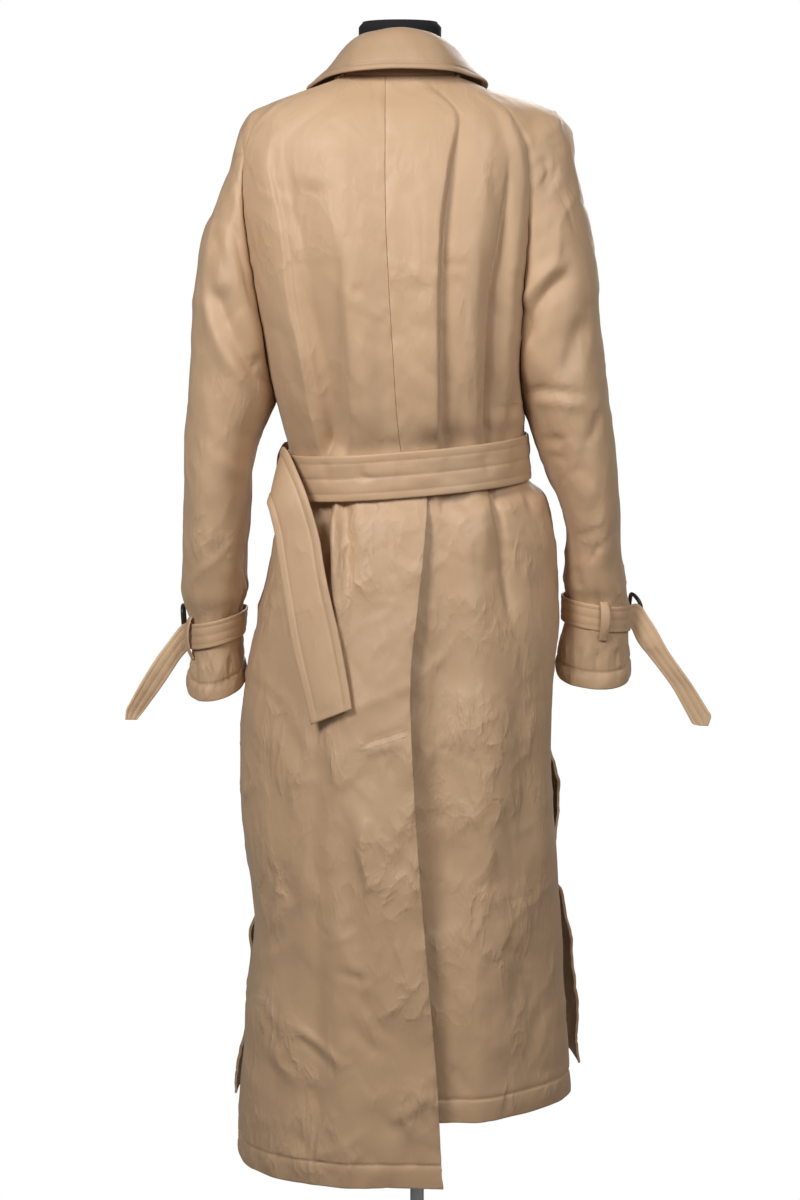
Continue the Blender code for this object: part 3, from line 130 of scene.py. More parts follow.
# Half sizes of the body's level section about (bodyX, 0): to the wearer's left and right, to the
# back and to the front.
bodySizes = rowsOf("z left right back front",
    (200, 188, 200, 178, 170), (270, 185, 198.5, 176, 169), (320, 181, 196, 174, 167),
    (364, 180, 192, 172, 165), (411, 173, 188, 170, 163), (456, 169, 185, 168, 161),
    (500, 172, 181.5, 166, 159), (562, 178, 179, 163, 156), (600, 181, 175.5, 161, 154),
    (660, 181.5, 172.5, 157, 150), (740, 175, 174, 150, 143), (811, 162, 180, 142, 135),
    (860, 149, 177, 136, 129), (900, 141, 173.5, 131, 124), (935, 136, 165, 125, 117),
    (957, 126, 144, 118, 111), (1007, 126, 140, 119, 111), (1030, 131, 140, 127, 117),
    (1055, 138, 135.5, 133, 123), (1130, 160, 144, 140, 129), (1200, 177, 156, 139, 128),
    (1290, 191, 168, 129, 117), (1330, 189, 171, 119, 106), (1360, 178, 166, 106, 93),
    (1372, 166, 156, 99, 86), (1385, 144, 136, 88, 76), (1395, 118, 111, 79, 69),
    (1405, 87, 85, 72, 62), (1420, 68, 67, 64, 56))
sectionPower = 0.90              # 1 is an ellipse, less is fuller at its corners

# The raglan seams run from under the collar out round the shoulder and down to the underarm.
raglanSeams = rowsOf("z backLeft backRight frontLeft frontRight",
    (1055, -158, 115.5, -158, 115.5), (1100, -166.5, 112, -167, 116),
    (1150, -174.5, 114, -174, 122), (1200, -182, 117, -179, 128),
    (1290, -190.5, 120.5, -180, 133), (1325, -189, 118.5, -168, 125),
    (1350, -180, 109, -148, 106), (1374, -158, 93, -114, 74), (1392, -122, 74, -84, 44),
    (1408, -80, 40, -70, 30), (1420, -70, 30, -66, 26))
neckHeights = {"backMiddle": 1.406, "backSeam": 1.408, "frontSeam": 1.394, "frontMiddle": 1.366}

# Heights of the hems, by the angle round the body: 0 wearer's right, 90 back, 180 left, 270 front.
hemHeights = rowsOf("angle left right",
    (0, 200, 264), (40, 200, 269), (90, 202.5, 271), (130, 193, 271), (165, 186, 270),
    (180, 201, 270), (190, 233, 270), (200, 245, 265), (215, 225, 260), (270, 225, 248),
    (320, 225, 250), (338, 225, 280), (348, 225, 267), (360, 225, 264))

# Fold lines. Each runs the whole height of its piece: how far across it is (x, or the share of the
# way from the line before it to the side), and how far it stands out of the section.
foldLines = {
    "middleLeft": ("back", rowsOf("z x out",
        (200, 25.2, 9), (300, 20.6, 10), (467, 7.3, 11), (676, -7, 10), (753, -9.2, 10),
        (860, 1, 8), (930, 8, 4), (957, 9.5, 0), (1007, -19, 0), (1100, -27, 0), (1300, -36, 0),
        (1420, -36, 0))),
    "swellLeft": ("back", rowsOf("z x out",
        (200, -40, 4), (500, -50, 8), (750, -56, 5), (930, -55, 2), (957, -55, -1),
        (1007, -60, -1), (1060, -64, 5), (1200, -72, 7), (1330, -80, 4), (1420, -44, 0))),
    "ridgeLeft": ("back", rowsOf("z x out",
        (200, -75, 6), (500, -82, 6), (750, -88, 4), (930, -87, 6), (957, -88, -1),
        (1007, -88, -2), (1060, -98, -4), (1200, -119, -3.5), (1330, -142, -1), (1420, -52, 0))),
    "creaseLeft": ("back", rowsOf("z x out",
        (200, -115, -4), (400, -118, -6), (600, -118, -4), (800, -108, -6), (930, -102, -12),
        (957, -101, -9), (1007, -103, -4), (1060, -113, 4), (1100, -119, 5), (1180, -134, 5),
        (1240, -141, 4), (1330, -160, 1.5), (1420, -60, 0))),
    "sideLeft": ("side", rowsOf("z out",
        (200, 0.5), (330, 0.5), (430, 0), (470, -1.5), (600, 0), (930, 0), (957, -1), (1007, -1),
        (1055, 0))),
    "middleRight": ("back", rowsOf("z x out",
        (260, -30, -6), (467, -42, -7), (676, -52, -7), (900, -38, -6), (930, -20, -5),
        (957, 9.8, -4.5), (1007, -18.7, 0), (1100, -26.7, 0), (1300, -35.7, 0), (1420, -35.7, 0))),
    "pleatCrest": ("back", rowsOf("z x out",
        (260, 15, -9), (467, 5, -12), (676, -5, -12), (900, 12, -6), (930, 15, -5), (957, 19, -2),
        (1007, 19, 0), (1040, 18, 8), (1155, 16.6, 9), (1240, 19.4, 8.5), (1310, 28.2, 6.5),
        (1360, 36.6, 3.5), (1420, -10, 0))),
    "pleatFoot": ("back", rowsOf("z x out",
        (260, 33, -7), (467, 22, -11), (676, 9, -11), (900, 26, -6), (957, 29, -6),
        (1007, 29, -6), (1040, 25.8, -3), (1155, 24.4, -2.5), (1240, 27.2, -2), (1310, 36.2, -1),
        (1360, 44.6, 0), (1420, 0, 0))),
    "swellRight": ("back", rowsOf("z x out",
        (260, 75, 2), (500, 65, 1), (750, 60, 3), (930, 62, 2), (957, 62, -1), (1007, 62, -1),
        (1060, 56, 2), (1200, 60, 1.5), (1330, 72, 1), (1420, 10, 0))),
    "creaseRight": ("back", rowsOf("z x out",
        (260, 115, -3), (500, 110, -4), (750, 108, -4), (900, 94, -5), (957, 83, -6),
        (1007, 78, -6), (1060, 78.5, -7), (1100, 79, -7), (1180, 81.5, -6.5), (1230, 89, -5),
        (1310, 96, -2.5), (1360, 85, -1), (1420, 19, 0))),
    "sideRight": ("side", rowsOf("z out",
        (260, -12), (450, -12), (560, -7), (660, -6), (760, 0), (1055, 0))),
    "lipRight": ("share", rowsOf("z share out",
        (260, 0.7, 3), (700, 0.7, 2), (957, 0.6, -1), (1007, 0.6, -1), (1060, 0.6, 4),
        (1300, 0.6, 2), (1420, 0.6, 0))),
    "frontFlareLeft": ("share", rowsOf("z share out",
        (200, 0.28, 4), (420, 0.28, 3), (560, 0.28, 4), (900, 0.28, 3), (957, 0.28, -1),
        (1007, 0.28, -1), (1060, 0.28, 4), (1420, 0.28, 0))),
    "frontCreaseLeft": ("share", rowsOf("z share out",
        (200, 0.4, -4), (600, 0.36, -5), (900, 0.32, -10), (957, 0.32, -8), (1007, 0.32, -8),
        (1060, 0.34, -9), (1250, 0.38, -4), (1420, 0.4, 0))),
    "frontSwellLeft": ("share", rowsOf("z share out",
        (200, 0.4, 6), (600, 0.4, 5), (900, 0.36, 2), (957, 0.36, -1), (1007, 0.36, -1),
        (1060, 0.36, 4), (1250, 0.4, 2), (1420, 0.4, 0))),
    "frontMiddle": ("front", rowsOf("z x out",
        (200, -20, 0), (1420, -20, 0))),
    "underFlat": ("front", rowsOf("z x out",
        (200, -72, 0), (1300, -72, 0), (1420, -50, 0))),
    "underEdge": ("front", rowsOf("z x out",
        (200, 30, 0), (1300, 30, 0), (1420, 15, 0))),
    "frontFlareRight": ("share", rowsOf("z share out",
        (240, 0.28, 5), (350, 0.28, 5), (450, 0.28, 4), (510, 0.28, 0), (600, 0.28, 6),
        (680, 0.28, 5), (900, 0.28, 2), (957, 0.28, -1), (1007, 0.28, -1), (1060, 0.28, 4),
        (1420, 0.28, 0))),
    "frontCreaseRight": ("share", rowsOf("z share out",
        (240, 0.4, -5), (600, 0.36, -6), (900, 0.32, -11), (957, 0.32, -8), (1007, 0.32, -8),
        (1060, 0.34, -10), (1250, 0.38, -4), (1420, 0.4, 0))),
    "lapStart": ("front", rowsOf("z x out",
        (200, 48, 4.5), (1300, 48, 4.5), (1420, 30, 4.5))),
    "lapMiddle": ("front", rowsOf("z x out",
        (200, -20, 4.5), (1420, -20, 4.5))),
    "lapEdge": ("front", rowsOf("z x out",
        (200, -60, 4.5), (1300, -60, 4.5), (1420, -40, 4.5))),
}

# Each body piece: its lines in order, starting at its middle, with the columns up to the next line.
bodyPanels = {
    "backLeft": ("left", "back", (("middleLeft", 2), ("swellLeft", 2), ("ridgeLeft", 2),
                                   ("creaseLeft", 4), ("sideLeft", 0))),
    "backRight": ("right", "back", (("middleRight", 1), ("pleatCrest", 1), ("pleatFoot", 2),
                                     ("swellRight", 2), ("creaseRight", 2), ("lipRight", 1),
                                     ("sideRight", 0))),
    "frontLeft": ("left", "front", (("underEdge", 1), ("frontMiddle", 2), ("underFlat", 1),
                                     ("frontSwellLeft", 1),
                                     ("frontCreaseLeft", 2), ("frontFlareLeft", 1),
                                     ("sideLeft", 0))),
    "frontRight": ("right", "front", (("lapEdge", 1), ("lapMiddle", 2), ("lapStart", 2),
                                       ("frontCreaseRight", 2), ("frontFlareRight", 2),
                                       ("sideRight", 0))),
}


# Above the underarm: the top line of the shoulder and the outer side, with the sleeve's depth.
shoulderRows = {
    "left": rowsOf("share outX outZ depth",
        (0, -254.5, 1075, 80), (0.1, -252.5, 1120, 83), (0.2, -249, 1170, 85),
        (0.3, -242.5, 1215, 86), (0.4, -232, 1252, 86), (0.5, -218, 1285, 84),
        (0.6, -205.5, 1319, 80), (0.7, -196.5, 1348, 74), (0.78, -185, 1368, 68),
        (0.85, -159, 1381.5, 62), (0.92, -121, 1393, 56), (1, -80, 1411, 50)),
    "right": rowsOf("share outX outZ depth",
        (0, 211, 1075, 80), (0.1, 206.5, 1120, 83), (0.2, 201.5, 1170, 85),
        (0.3, 195.5, 1215, 86), (0.4, 189, 1252, 86), (0.5, 181.5, 1285, 84),
        (0.6, 173.5, 1319, 80), (0.7, 170, 1345, 74), (0.78, 160, 1364, 68),
        (0.85, 127, 1381.5, 62), (0.92, 82, 1393, 56), (1, 40, 1411, 50)),
}
# Below the underarm: the outer and the inner side, half the depth, and how far forward it hangs.
sleeveRows = {
    "left": rowsOf("name outX outZ inX inZ depth forward drop",
        ("underarm", -254.5, 1075, -158, 1055, 80, 0, 0),
        ("upperArm", -257, 1045, -166.5, 1033, 79, 0, 0),
        ("aboveElbow", -259, 1015, -176, 1010, 78, 2, 0),
        ("elbow", -261.5, 975, -186, 975, 76, 4, 0),
        ("belowElbow", -264, 935, -189.5, 935, 74, 7, 0),
        ("forearm", -266, 895, -191.8, 893, 71, 11, 0),
        ("gatherTop", -267.5, 860, -193, 857, 67, 15, 0),
        ("gather", -268, 835, -192, 837, 62, 18, 0),
        ("strapTop", -259, 805, -197, 820, 52, 20, 0),
        ("strapBottom", -258, 769, -200, 786, 51, 20, 0),
        ("cuff", -261, 748, -198.5, 762, 53, 21, 6),
        ("cuffEdge", -264, 726, -194.5, 738, 55, 22, 14)),
    "right": rowsOf("name outX outZ inX inZ depth forward drop",
        ("underarm", 211, 1075, 115.5, 1055, 80, 0, 0),
        ("upperArm", 216, 1040, 123.5, 1030, 79, 0, 0),
        ("aboveElbow", 220.5, 1010, 132, 1005, 78, 2, 0),
        ("elbow", 224, 972, 146.5, 968, 76, 4, 0),
        ("belowElbow", 226.8, 935, 161, 935, 73, 8, 0),
        ("forearm", 228.8, 903, 168, 905, 69, 12, 0),
        ("gatherTop", 232, 868, 166.8, 870, 64, 16, 0),
        ("gather", 237, 843, 165, 849, 58, 18, 0),
        ("strapTop", 240, 824, 167.5, 833, 50, 20, 0),
        ("strapBottom", 240, 791, 167.5, 802, 49, 20, 0),
        ("cuff", 242.5, 765, 161, 775, 50, 21, 4),
        ("cuffEdge", 243.5, 738, 159.5, 742, 51, 22, 10)),
}


collarSizes = rowsOf("angle roll rollZ reach edgeZ puff",
    (-90, 60, 1415, 137, 1305, 11), (-60, 58, 1418, 134, 1332, 11), (-35, 55, 1426, 111, 1390, 6),
    (0, 52.5, 1439, 96.5, 1404, 1), (30, 53, 1449, 89, 1408, 2),
    (60, 57, 1455.5, 95.5, 1412, 3.5), (90, 60, 1459, 93, 1413, 3.5),
    (120, 57, 1455.5, 96.5, 1411, 3.5), (150, 53, 1449, 92, 1407, 2),
    (180, 52.5, 1439, 102.5, 1397.5, 1), (196, 53.2, 1434.5, 108, 1396, 3),
    (215, 55, 1426, 119, 1384, 6), (240, 58, 1418, 135, 1332, 11), (270, 60, 1415, 137, 1305, 11))


backTail = rowsOf("lowX lowY lowZ topX topY topZ",
    (-145.2, 49.6, 956, -145.2, 49.6, 990), (-149.6, 37.9, 953, -149.6, 37.9, 993),
    (-153.5, 10.8, 951, -153.4, 10.8, 997), (-156.5, -20, 950, -152.8, -21, 1002),
    (-162, -46, 950, -149, -48, 1007), (-166.2, -74, 948, -140, -76, 999),
    (-162.5, -91, 938, -122.5, -109, 964), (-156.5, -101, 914, -108, -124, 918),
    (-152.5, -109, 886, -102.2, -131, 886), (-146, -119, 847, -93.8, -139, 847),
    (-138.9, -129, 805, -84.2, -147, 805), (-126.2, -140, 752, -74.5, -157, 752),
    (-117.2, -145, 713.3, -71.8, -160, 733.7))
frontTail = rowsOf("lowX lowY lowZ topX topY topZ",
    (-139, 59.8, 957, -139, 59.8, 990), (-130.2, 73.5, 954, -130.2, 73.5, 992),
    (-135.5, 81, 940, -122.2, 83.5, 990), (-147, 80, 915, -119, 96.5, 956),
    (-152, 83, 870, -129, 128, 875), (-155, 100, 800, -131, 145, 800),
    (-159, 115, 730, -134, 159, 730))


strapEnds = {
    "left": rowsOf("topX topZ topY lowX lowZ lowY",
        (-266, 800, 9, -260.5, 770.5, 9), (-284.1, 779.1, 7, -269, 761, 12),
        (-312, 738.6, 4, -291.5, 727.5, 15), (-329.2, 707.7, 3.1, -310.4, 702, 15),
        (-331.5, 703.5, 3, -313, 698.5, 15), (-334, 689.5, 5, -321.5, 688, 12)),
    "right": rowsOf("topX topZ topY lowX lowZ lowY",
        (248, 823.5, 8, 242, 795, 8), (264, 805.5, 6, 250, 780, 10),
        (284.2, 771.3, 4, 264, 761.5, 13), (312.8, 730.7, 3, 291.6, 725, 14),
        (332.3, 699.7, 3, 311.8, 688.9, 14), (335, 695.5, 3, 314.5, 684, 14),
        (332.5, 682, 6, 323, 681.5, 11)),
}


formSizes = rowsOf("z half back front",
    (700, 110, 90, 84), (712, 124, 99, 93), (760, 140, 111, 103), (820, 145, 115, 105),
    (890, 128, 102, 95), (975, 108, 86, 84), (1060, 118, 92, 96), (1150, 130, 104, 113),
    (1230, 140, 109, 112), (1290, 150, 106, 100), (1330, 150, 97, 85), (1355, 140, 87, 74),
    (1371, 123, 78.5, 66.5), (1385.8, 97, 69, 60), (1396.8, 72.8, 60, 54), (1409.8, 53, 50.5, 48),
    (1425, 46.2, 45.8, 45), (1445, 45.4, 45, 44.6), (1462, 45.5, 45, 44.5), (1468, 41, 40.5, 40))


# Crisp folds that follow a fold line: where the trough lies beside it (more than 0 is toward the
# side of the coat), its width toward the middle and toward the side, and its depth.
crispFolds = {
    "backLeft": {
        "creaseLeft": rowsOf("z offset inner outer deep",
            (780, 0, 6, 5, 0), (900, 0, 5, 4.5, -3), (957, 0, 5, 4, -6), (1007, 2, 8, 3.4, -6.5),
            (1100, 0, 9, 3.2, -6), (1180, 0, 9, 3, -5.5), (1280, -1, 9, 3, -4),
            (1345, -5, 9, 3, 0))},
    "backRight": {
        "pleatFoot": rowsOf("z offset inner outer deep",
            (940, -1, 3, 8, 0), (1007, -1, 2.8, 9, -3), (1160, -1.5, 2.6, 12, -3.6),
            (1300, -1, 2.6, 12, -2.6), (1375, 0, 3, 8, 0)),
        "creaseRight": rowsOf("z offset inner outer deep",
            (780, 0, 6, 9, 0), (900, 0, 5, 7, -5.5), (957, 0, 4.4, 6, -9),
            (1007, 0, 4.8, 6, -12.5), (1090, 0, 4.2, 5.8, -11.8), (1180, 0, 3.6, 5.5, -8.4),
            (1270, 0, 3.2, 5.5, -4.4), (1325, 0, 3.2, 5, 0))},
}

backCreases = {
    "left": creasesOf(
        # out from the raglan seam, down to the belt
        (-137, 1235, -116, 1120, -99, 1003, 4.5, 13, -11, 55, 0),
        (-90, 1250, -85, 1125, -80, 1003, 18, 4.5, -12, 65, 0),
        (-56, 1190, -57, 1100, -52, 1010, 9, 9, 1.6, 40, 15),
        (-40, 1110, -38, 1060, -34, 1005, 6, 8, -1.8, 50, 5),
        (-134, 1292, -114, 1299, -92, 1288, 7, 7, 1.4, 40, 40),
        (-128, 1280, -110, 1284, -94, 1275, 6, 6, -1.3, 40, 40),
        (-74, 1188, -65, 1179, -56, 1172, 3, 3, -1.4, 40, 40),
        (-58, 1190, -65, 1179, -71, 1166, 3, 3, -1.4, 40, 40),
        (-150, 1160, -140, 1110, -124, 1050, 8, 10, -2.2, 45, 30),
        # below the belt
        (-103, 960, -100, 900, -94, 825, 5, 4.5, -5, 2, 60),
        (-92.5, 958, -90, 890, -85, 800, 5.5, 5.5, 4.8, 6, 65),
        (-85, 960, -80, 890, -75, 790, 4.5, 12, -11, 2, 70),
        (-125, 958, -129, 905, -140, 840, 7, 7, -2.8, 5, 60),
        (-50, 958, -52, 890, -56, 800, 7, 9, -1.6, 5, 60),
        (-33, 957, -29, 900, -27, 830, 5, 7, -1.6, 5, 60),
        # across the vent's top
        (-62, 694, -38, 703, -12, 712, 3.5, 3.5, -1.8, 20, 10),
        (-60, 684, -38, 691, -13, 699, 5.5, 5.5, 1.8, 30, 20),
        (-52, 688, -49, 668, -50, 645, 3.5, 3.5, -1.6, 20, 50),
        (-42, 690, -33, 672, -26, 652, 3.5, 3.5, -1.6, 20, 50),
        (-32, 694, -28, 676, -29, 660, 3, 3, -1.2, 20, 50),
        # skirt
        (-75, 655, -52, 560, -43, 430, 13, 16, 3.6, 35, 35),
        (-100, 650, -78, 540, -68, 420, 14, 14, -3, 35, 35),
        (-130, 610, -120, 500, -118, 400, 15, 15, 3, 35, 35),
        (-196, 750, -180, 742, -164, 730, 6, 6, -2.4, 20, 50),
        (-170, 376, -162, 361, -150, 345, 5, 5, -2.2, 30, 40),
        (-150, 377, -112, 358, -78, 332, 10, 5, 3.6, 35, 35),
        (-147, 366, -112, 346, -82, 320, 5, 10, -2.8, 35, 35),
        (-178, 350, -150, 322, -120, 300, 9, 9, 2.4, 35, 35),
        (20, 319, -3, 296, -33, 274, 6, 8, 2.6, 30, 35),
        (15, 306, -6, 286, -30, 265, 4, 6, -1.8, 30, 35),
        (-31, 280, -26, 270, -22, 262, 3, 3, -1.4, 30, 40),
        (-94, 445, -70, 438, -44, 434, 4.5, 4.5, -1.6, 35, 35),
        (-70, 452, -66, 438, -64, 422, 3.5, 3.5, -1.4, 35, 35),
        (-80, 400, -60, 370, -30, 345, 8, 8, -2, 35, 35),
        (-6, 600, -12, 500, -4, 380, 12, 12, 2.2, 35, 35),
        (-160, 560, -150, 530, -132, 505, 10, 10, -1.8, 35, 35),
        (-60, 600, -30, 570, -5, 555, 9, 9, -1.4, 35, 35)),
    "right": creasesOf(
        # the long pleat beside the back seam: a high edge with the cloth sunk to its right
        (75, 1330, 62, 1220, 56, 1060, 15, 11, 1.6, 35, 30),
        # the deep crease inside the armhole
        (86, 1290, 75, 1190, 68, 1010, 8, 6, 2, 30, 15),
        (107, 1270, 97, 1150, 93, 1015, 7, 8, 2.6, 30, 12),
        (106, 1080, 100, 1045, 96, 1005, 4.5, 6, -3, 50, 3),
        (58, 1276, 62, 1270, 67, 1265, 2.5, 2.5, -1.2, 40, 40),
        (48, 1080, 46, 1045, 45, 1005, 6, 7, -1.8, 50, 5),
        # below the belt
        (38, 957, 47, 950, 60, 942, 4, 4, -2.6, 10, 50),
        (96, 890, 100, 850, 102, 800, 9, 11, -2.6, 30, 60),
        (72, 957, 75, 920, 80, 870, 7, 6, 2.4, 10, 60),
        (102, 976, 124, 951, 149, 900, 5, 7, -4.2, 5, 50),
        (112, 980, 121, 955, 128, 915, 4.5, 5, -3.2, 5, 50),
        (122, 984, 134, 960, 145, 925, 5, 6, -3.6, 5, 50),
        (14, 957, 12, 900, 12, 820, 6, 8, -1.8, 5, 60),
        # skirt
        (40, 900, 36, 680, 46, 400, 26, 30, -12, 35, 30),
        (94, 800, 92, 660, 94, 500, 20, 20, 4, 35, 35),
        (130, 780, 136, 660, 136, 480, 16, 13, 3, 35, 35),
        (85, 458, 78, 438, 68, 412, 8, 8, -2, 35, 35),
        (147, 387, 136, 368, 124, 349, 8, 8, -2, 35, 35),
        (64, 390, 80, 360, 104, 338, 9, 9, 2, 35, 35),
        (110, 480, 112, 420, 104, 350, 12, 12, -2.2, 35, 35),
        (30, 430, 42, 400, 60, 376, 8, 8, -1.6, 35, 35),
        (30, 350, 46, 320, 62, 300, 7, 7, -1.4, 35, 35)),
}
frontCreases = {
    "left": creasesOf(
        (-150, 1300, -128, 1190, -110, 1010, 5, 6, -4.2, 25, 3),
        (-140, 1290, -118, 1190, -98, 1012, 7, 9, 2.6, 30, 10),
        (-90, 1240, -88, 1130, -82, 1005, 11, 11, -2.4, 35, 5),
        (-60, 1150, -66, 1080, -68, 1008, 7, 8, -2, 45, 5),
        (-118, 958, -122, 890, -130, 800, 5, 8, -4, 2, 60),
        (-96, 958, -98, 880, -100, 780, 7, 8, 2.6, 10, 60),
        (-74, 958, -74, 880, -78, 790, 5, 9, -3.6, 2, 60),
        (-50, 957, -50, 880, -52, 800, 7, 8, -1.6, 5, 60),
        (-110, 700, -100, 580, -104, 420, 16, 15, 3.4, 35, 35),
        (-70, 660, -68, 540, -76, 400, 15, 15, -3, 35, 35),
        (-150, 520, -130, 470, -100, 430, 9, 9, -2, 35, 35),
        (-140, 370, -110, 340, -70, 322, 9, 9, 2.6, 35, 35)),
    "right": creasesOf(
        (110, 1290, 90, 1190, 80, 1010, 6, 5, -4.2, 25, 3),
        (98, 1280, 80, 1190, 68, 1012, 9, 7, 2.6, 30, 10),
        (50, 1250, 46, 1130, 44, 1005, 11, 11, -2.2, 35, 5),
        (20, 1170, 22, 1080, 24, 1008, 8, 8, -2, 45, 5),
        (94, 958, 100, 890, 108, 800, 8, 5, -4, 2, 60),
        (70, 958, 74, 880, 80, 780, 8, 7, 2.6, 10, 60),
        (46, 958, 48, 880, 54, 790, 8, 5, -3.6, 2, 60),
        (18, 957, 18, 880, 22, 800, 8, 7, -1.8, 5, 60),
        (84, 700, 80, 580, 86, 420, 15, 16, 3.4, 35, 35),
        (40, 660, 42, 540, 50, 400, 15, 15, -3, 35, 35),
        (130, 500, 112, 460, 90, 430, 9, 9, -2, 35, 35),
        (40, 360, 72, 342, 110, 350, 9, 9, 2.6, 35, 35)),
}
sleeveCreases = {
    "left": creasesOf(
        (-222, 1187, -206, 1137, -160, 1066, 8, 15, -8, 25, 20),
        (-236, 1196, -221, 1136, -180, 1066, 10, 6, 4.2, 30, 25),
        (-203, 1256, -188, 1205, -175, 1146, 4.5, 5.5, -3, 25, 30),
        (-214, 1262, -202, 1215, -192, 1160, 8, 6, 1.8, 30, 30),
        (-178, 1112, -171, 1102, -164, 1092, 3, 3, -1.6, 40, 40),
        (-164, 1114, -171, 1102, -177, 1090, 3, 3, -1.4, 40, 40),
        (-236, 1328, -222, 1300, -206, 1282, 5, 5, -1.6, 35, 35),
        (-192, 1022, -180, 1014, -168, 1004, 5, 6, -2.2, 25, 35),
        (-232, 1120, -216, 1060, -196, 1000, 11, 11, -2.4, 35, 35),
        (-226, 1010, -204, 985, -178, 968, 7, 7, 2, 35, 30),
        (-236, 960, -222, 920, -214, 860, 9, 9, -2, 35, 35),
        (-200, 930, -204, 880, -208, 830, 8, 8, 2, 35, 35)),
    "right": creasesOf(
        (124, 1322, 140, 1306, 124, 1282, 4, 4, -2.2, 30, 30),
        (149, 1328, 146, 1299, 128, 1277, 5, 5, -1.8, 30, 30),
        (169, 1202, 130, 1168, 106, 1118, 4.5, 13, -6.4, 20, 20),
        (165, 1214, 122, 1178, 100, 1128, 9, 4.5, 3.6, 25, 30),
        (196, 1158, 188, 1161, 178, 1161, 3, 3, -2.2, 20, 40),
        (185, 1158, 168, 1118, 157, 1078, 9, 10, -3.4, 25, 35),
        (198, 1150, 184, 1110, 174, 1070, 9, 8, 2, 30, 35),
        (112, 1067, 152, 1069, 190, 1062, 5, 5, -3.4, 15, 25),
        (114, 1056, 152, 1057, 186, 1051, 6, 6, 2.4, 25, 30),
        (199, 1049, 195, 1030, 186, 1006, 5, 6, -3, 20, 35),
        (117, 1036, 124, 1026, 131, 1018, 3.5, 3.5, -2.4, 20, 40),
        (131, 1012, 147, 1016, 164, 1016, 4, 4, -2.2, 25, 35),
        (131, 996, 148, 996, 165, 992, 4, 4, -1.8, 25, 35),
        (132, 982, 140, 977, 150, 975, 4, 4, -1.4, 25, 35),
        (200, 960, 192, 920, 190, 880, 8, 8, -2.2, 35, 35),
        (165, 960, 172, 920, 180, 870, 9, 9, 2, 35, 35),
        (203, 900, 196, 888, 188, 874, 4.5, 4.5, -3, 25, 35),
        (176, 872, 178, 860, 181, 846, 4, 4, -2.8, 30, 10)),
}
sleeveFrontCreases = {
    "left": creasesOf(
        (-222, 1190, -200, 1140, -160, 1080, 9, 13, -6.4, 25, 20),
        (-234, 1200, -216, 1140, -180, 1078, 10, 6, 3.2, 30, 25),
        (-200, 1262, -182, 1220, -172, 1160, 5, 6, -2.6, 25, 30),
        (-232, 1086, -200, 1080, -172, 1066, 6, 6, -2.8, 25, 25),
        (-232, 1020, -206, 1012, -176, 1000, 6, 6, -2.2, 30, 30),
        (-226, 960, -206, 920, -204, 860, 9, 9, -2, 35, 35),
        (-186, 940, -192, 890, -190, 840, 8, 8, 2, 35, 35)),
    "right": creasesOf(
        (172, 1196, 140, 1160, 114, 1104, 6, 12, -6, 20, 20),
        (168, 1208, 132, 1170, 106, 1114, 9, 5, 3.2, 25, 30),
        (160, 1280, 146, 1250, 130, 1224, 5, 6, -2.4, 25, 30),
        (192, 1140, 172, 1104, 160, 1064, 9, 10, -2.8, 25, 35),
        (116, 1050, 152, 1046, 188, 1040, 6, 6, -2.6, 25, 25),
        (136, 990, 160, 984, 190, 980, 6, 6, -2, 30, 30),
        (196, 950, 186, 910, 184, 870, 9, 9, -2, 35, 35)),
}
beltCreases = creasesOf(
    (-73, 984, -58, 980, -44, 979, 4, 4, -1.6, 35, 35),
    (-66, 994, -62, 984, -60, 972, 3.5, 3.5, -1.4, 35, 35),
    (-104, 998, -100, 984, -98, 966, 5, 5, -1.2, 30, 30),
    (-20, 1000, -17, 986, -16, 968, 6, 6, -1, 30, 30),
    (28, 1003, 31, 990, 32, 972, 6, 6, -1.2, 30, 30),
    (72, 1008, 74, 992, 80, 978, 5, 5, -1.4, 30, 30),
    (104, 1012, 106, 996, 112, 982, 5, 5, -1.4, 30, 30))


def sectionPoint(angle, z):
    c, s = np.cos(np.radians(angle)), np.sin(np.radians(angle))
    halfWidth = np.where(c > 0, along(bodySizes, "right", z), along(bodySizes, "left", z))
    halfDepth = np.where(s > 0, along(bodySizes, "back", z), along(bodySizes, "front", z))
    x = bodyX + np.sign(c) * halfWidth * np.abs(c) ** sectionPower
    y = -np.sign(s) * halfDepth * np.abs(s) ** sectionPower
    return np.stack((x, y, z + beltTilt(x, z)), -1)


# The level rows rise to the wearer's right round the waist, as the belt does
tiltStyle = {"slope": 0.080, "from": 0.87, "rise": 0.08, "fall": 0.045}


def beltTilt(x, z):
    share = ease((z - tiltStyle["from"]) / tiltStyle["rise"])
    share = share * ease((underarmZ - z) / tiltStyle["fall"])
    return tiltStyle["slope"] * (x - bodyX) * share


def sectionNormal(angle, z):
    roundIt = sectionPoint(angle + 0.5, z) - sectionPoint(angle - 0.5, z)
    upward = sectionPoint(angle, z + 0.004) - sectionPoint(angle, z - 0.004)
    return unit(np.cross(upward, roundIt))


# Angle round the body at which its section passes over x
def angleAt(x, z, face):
    halfWidth = np.where(x > bodyX, along(bodySizes, "right", z), along(bodySizes, "left", z))
    share = np.minimum(1.0, np.abs(x - bodyX) / halfWidth) ** (1 / sectionPower)
    angle = np.degrees(np.arccos(np.sign(x - bodyX) * share))
    return angle if face == "back" else 360 - angle


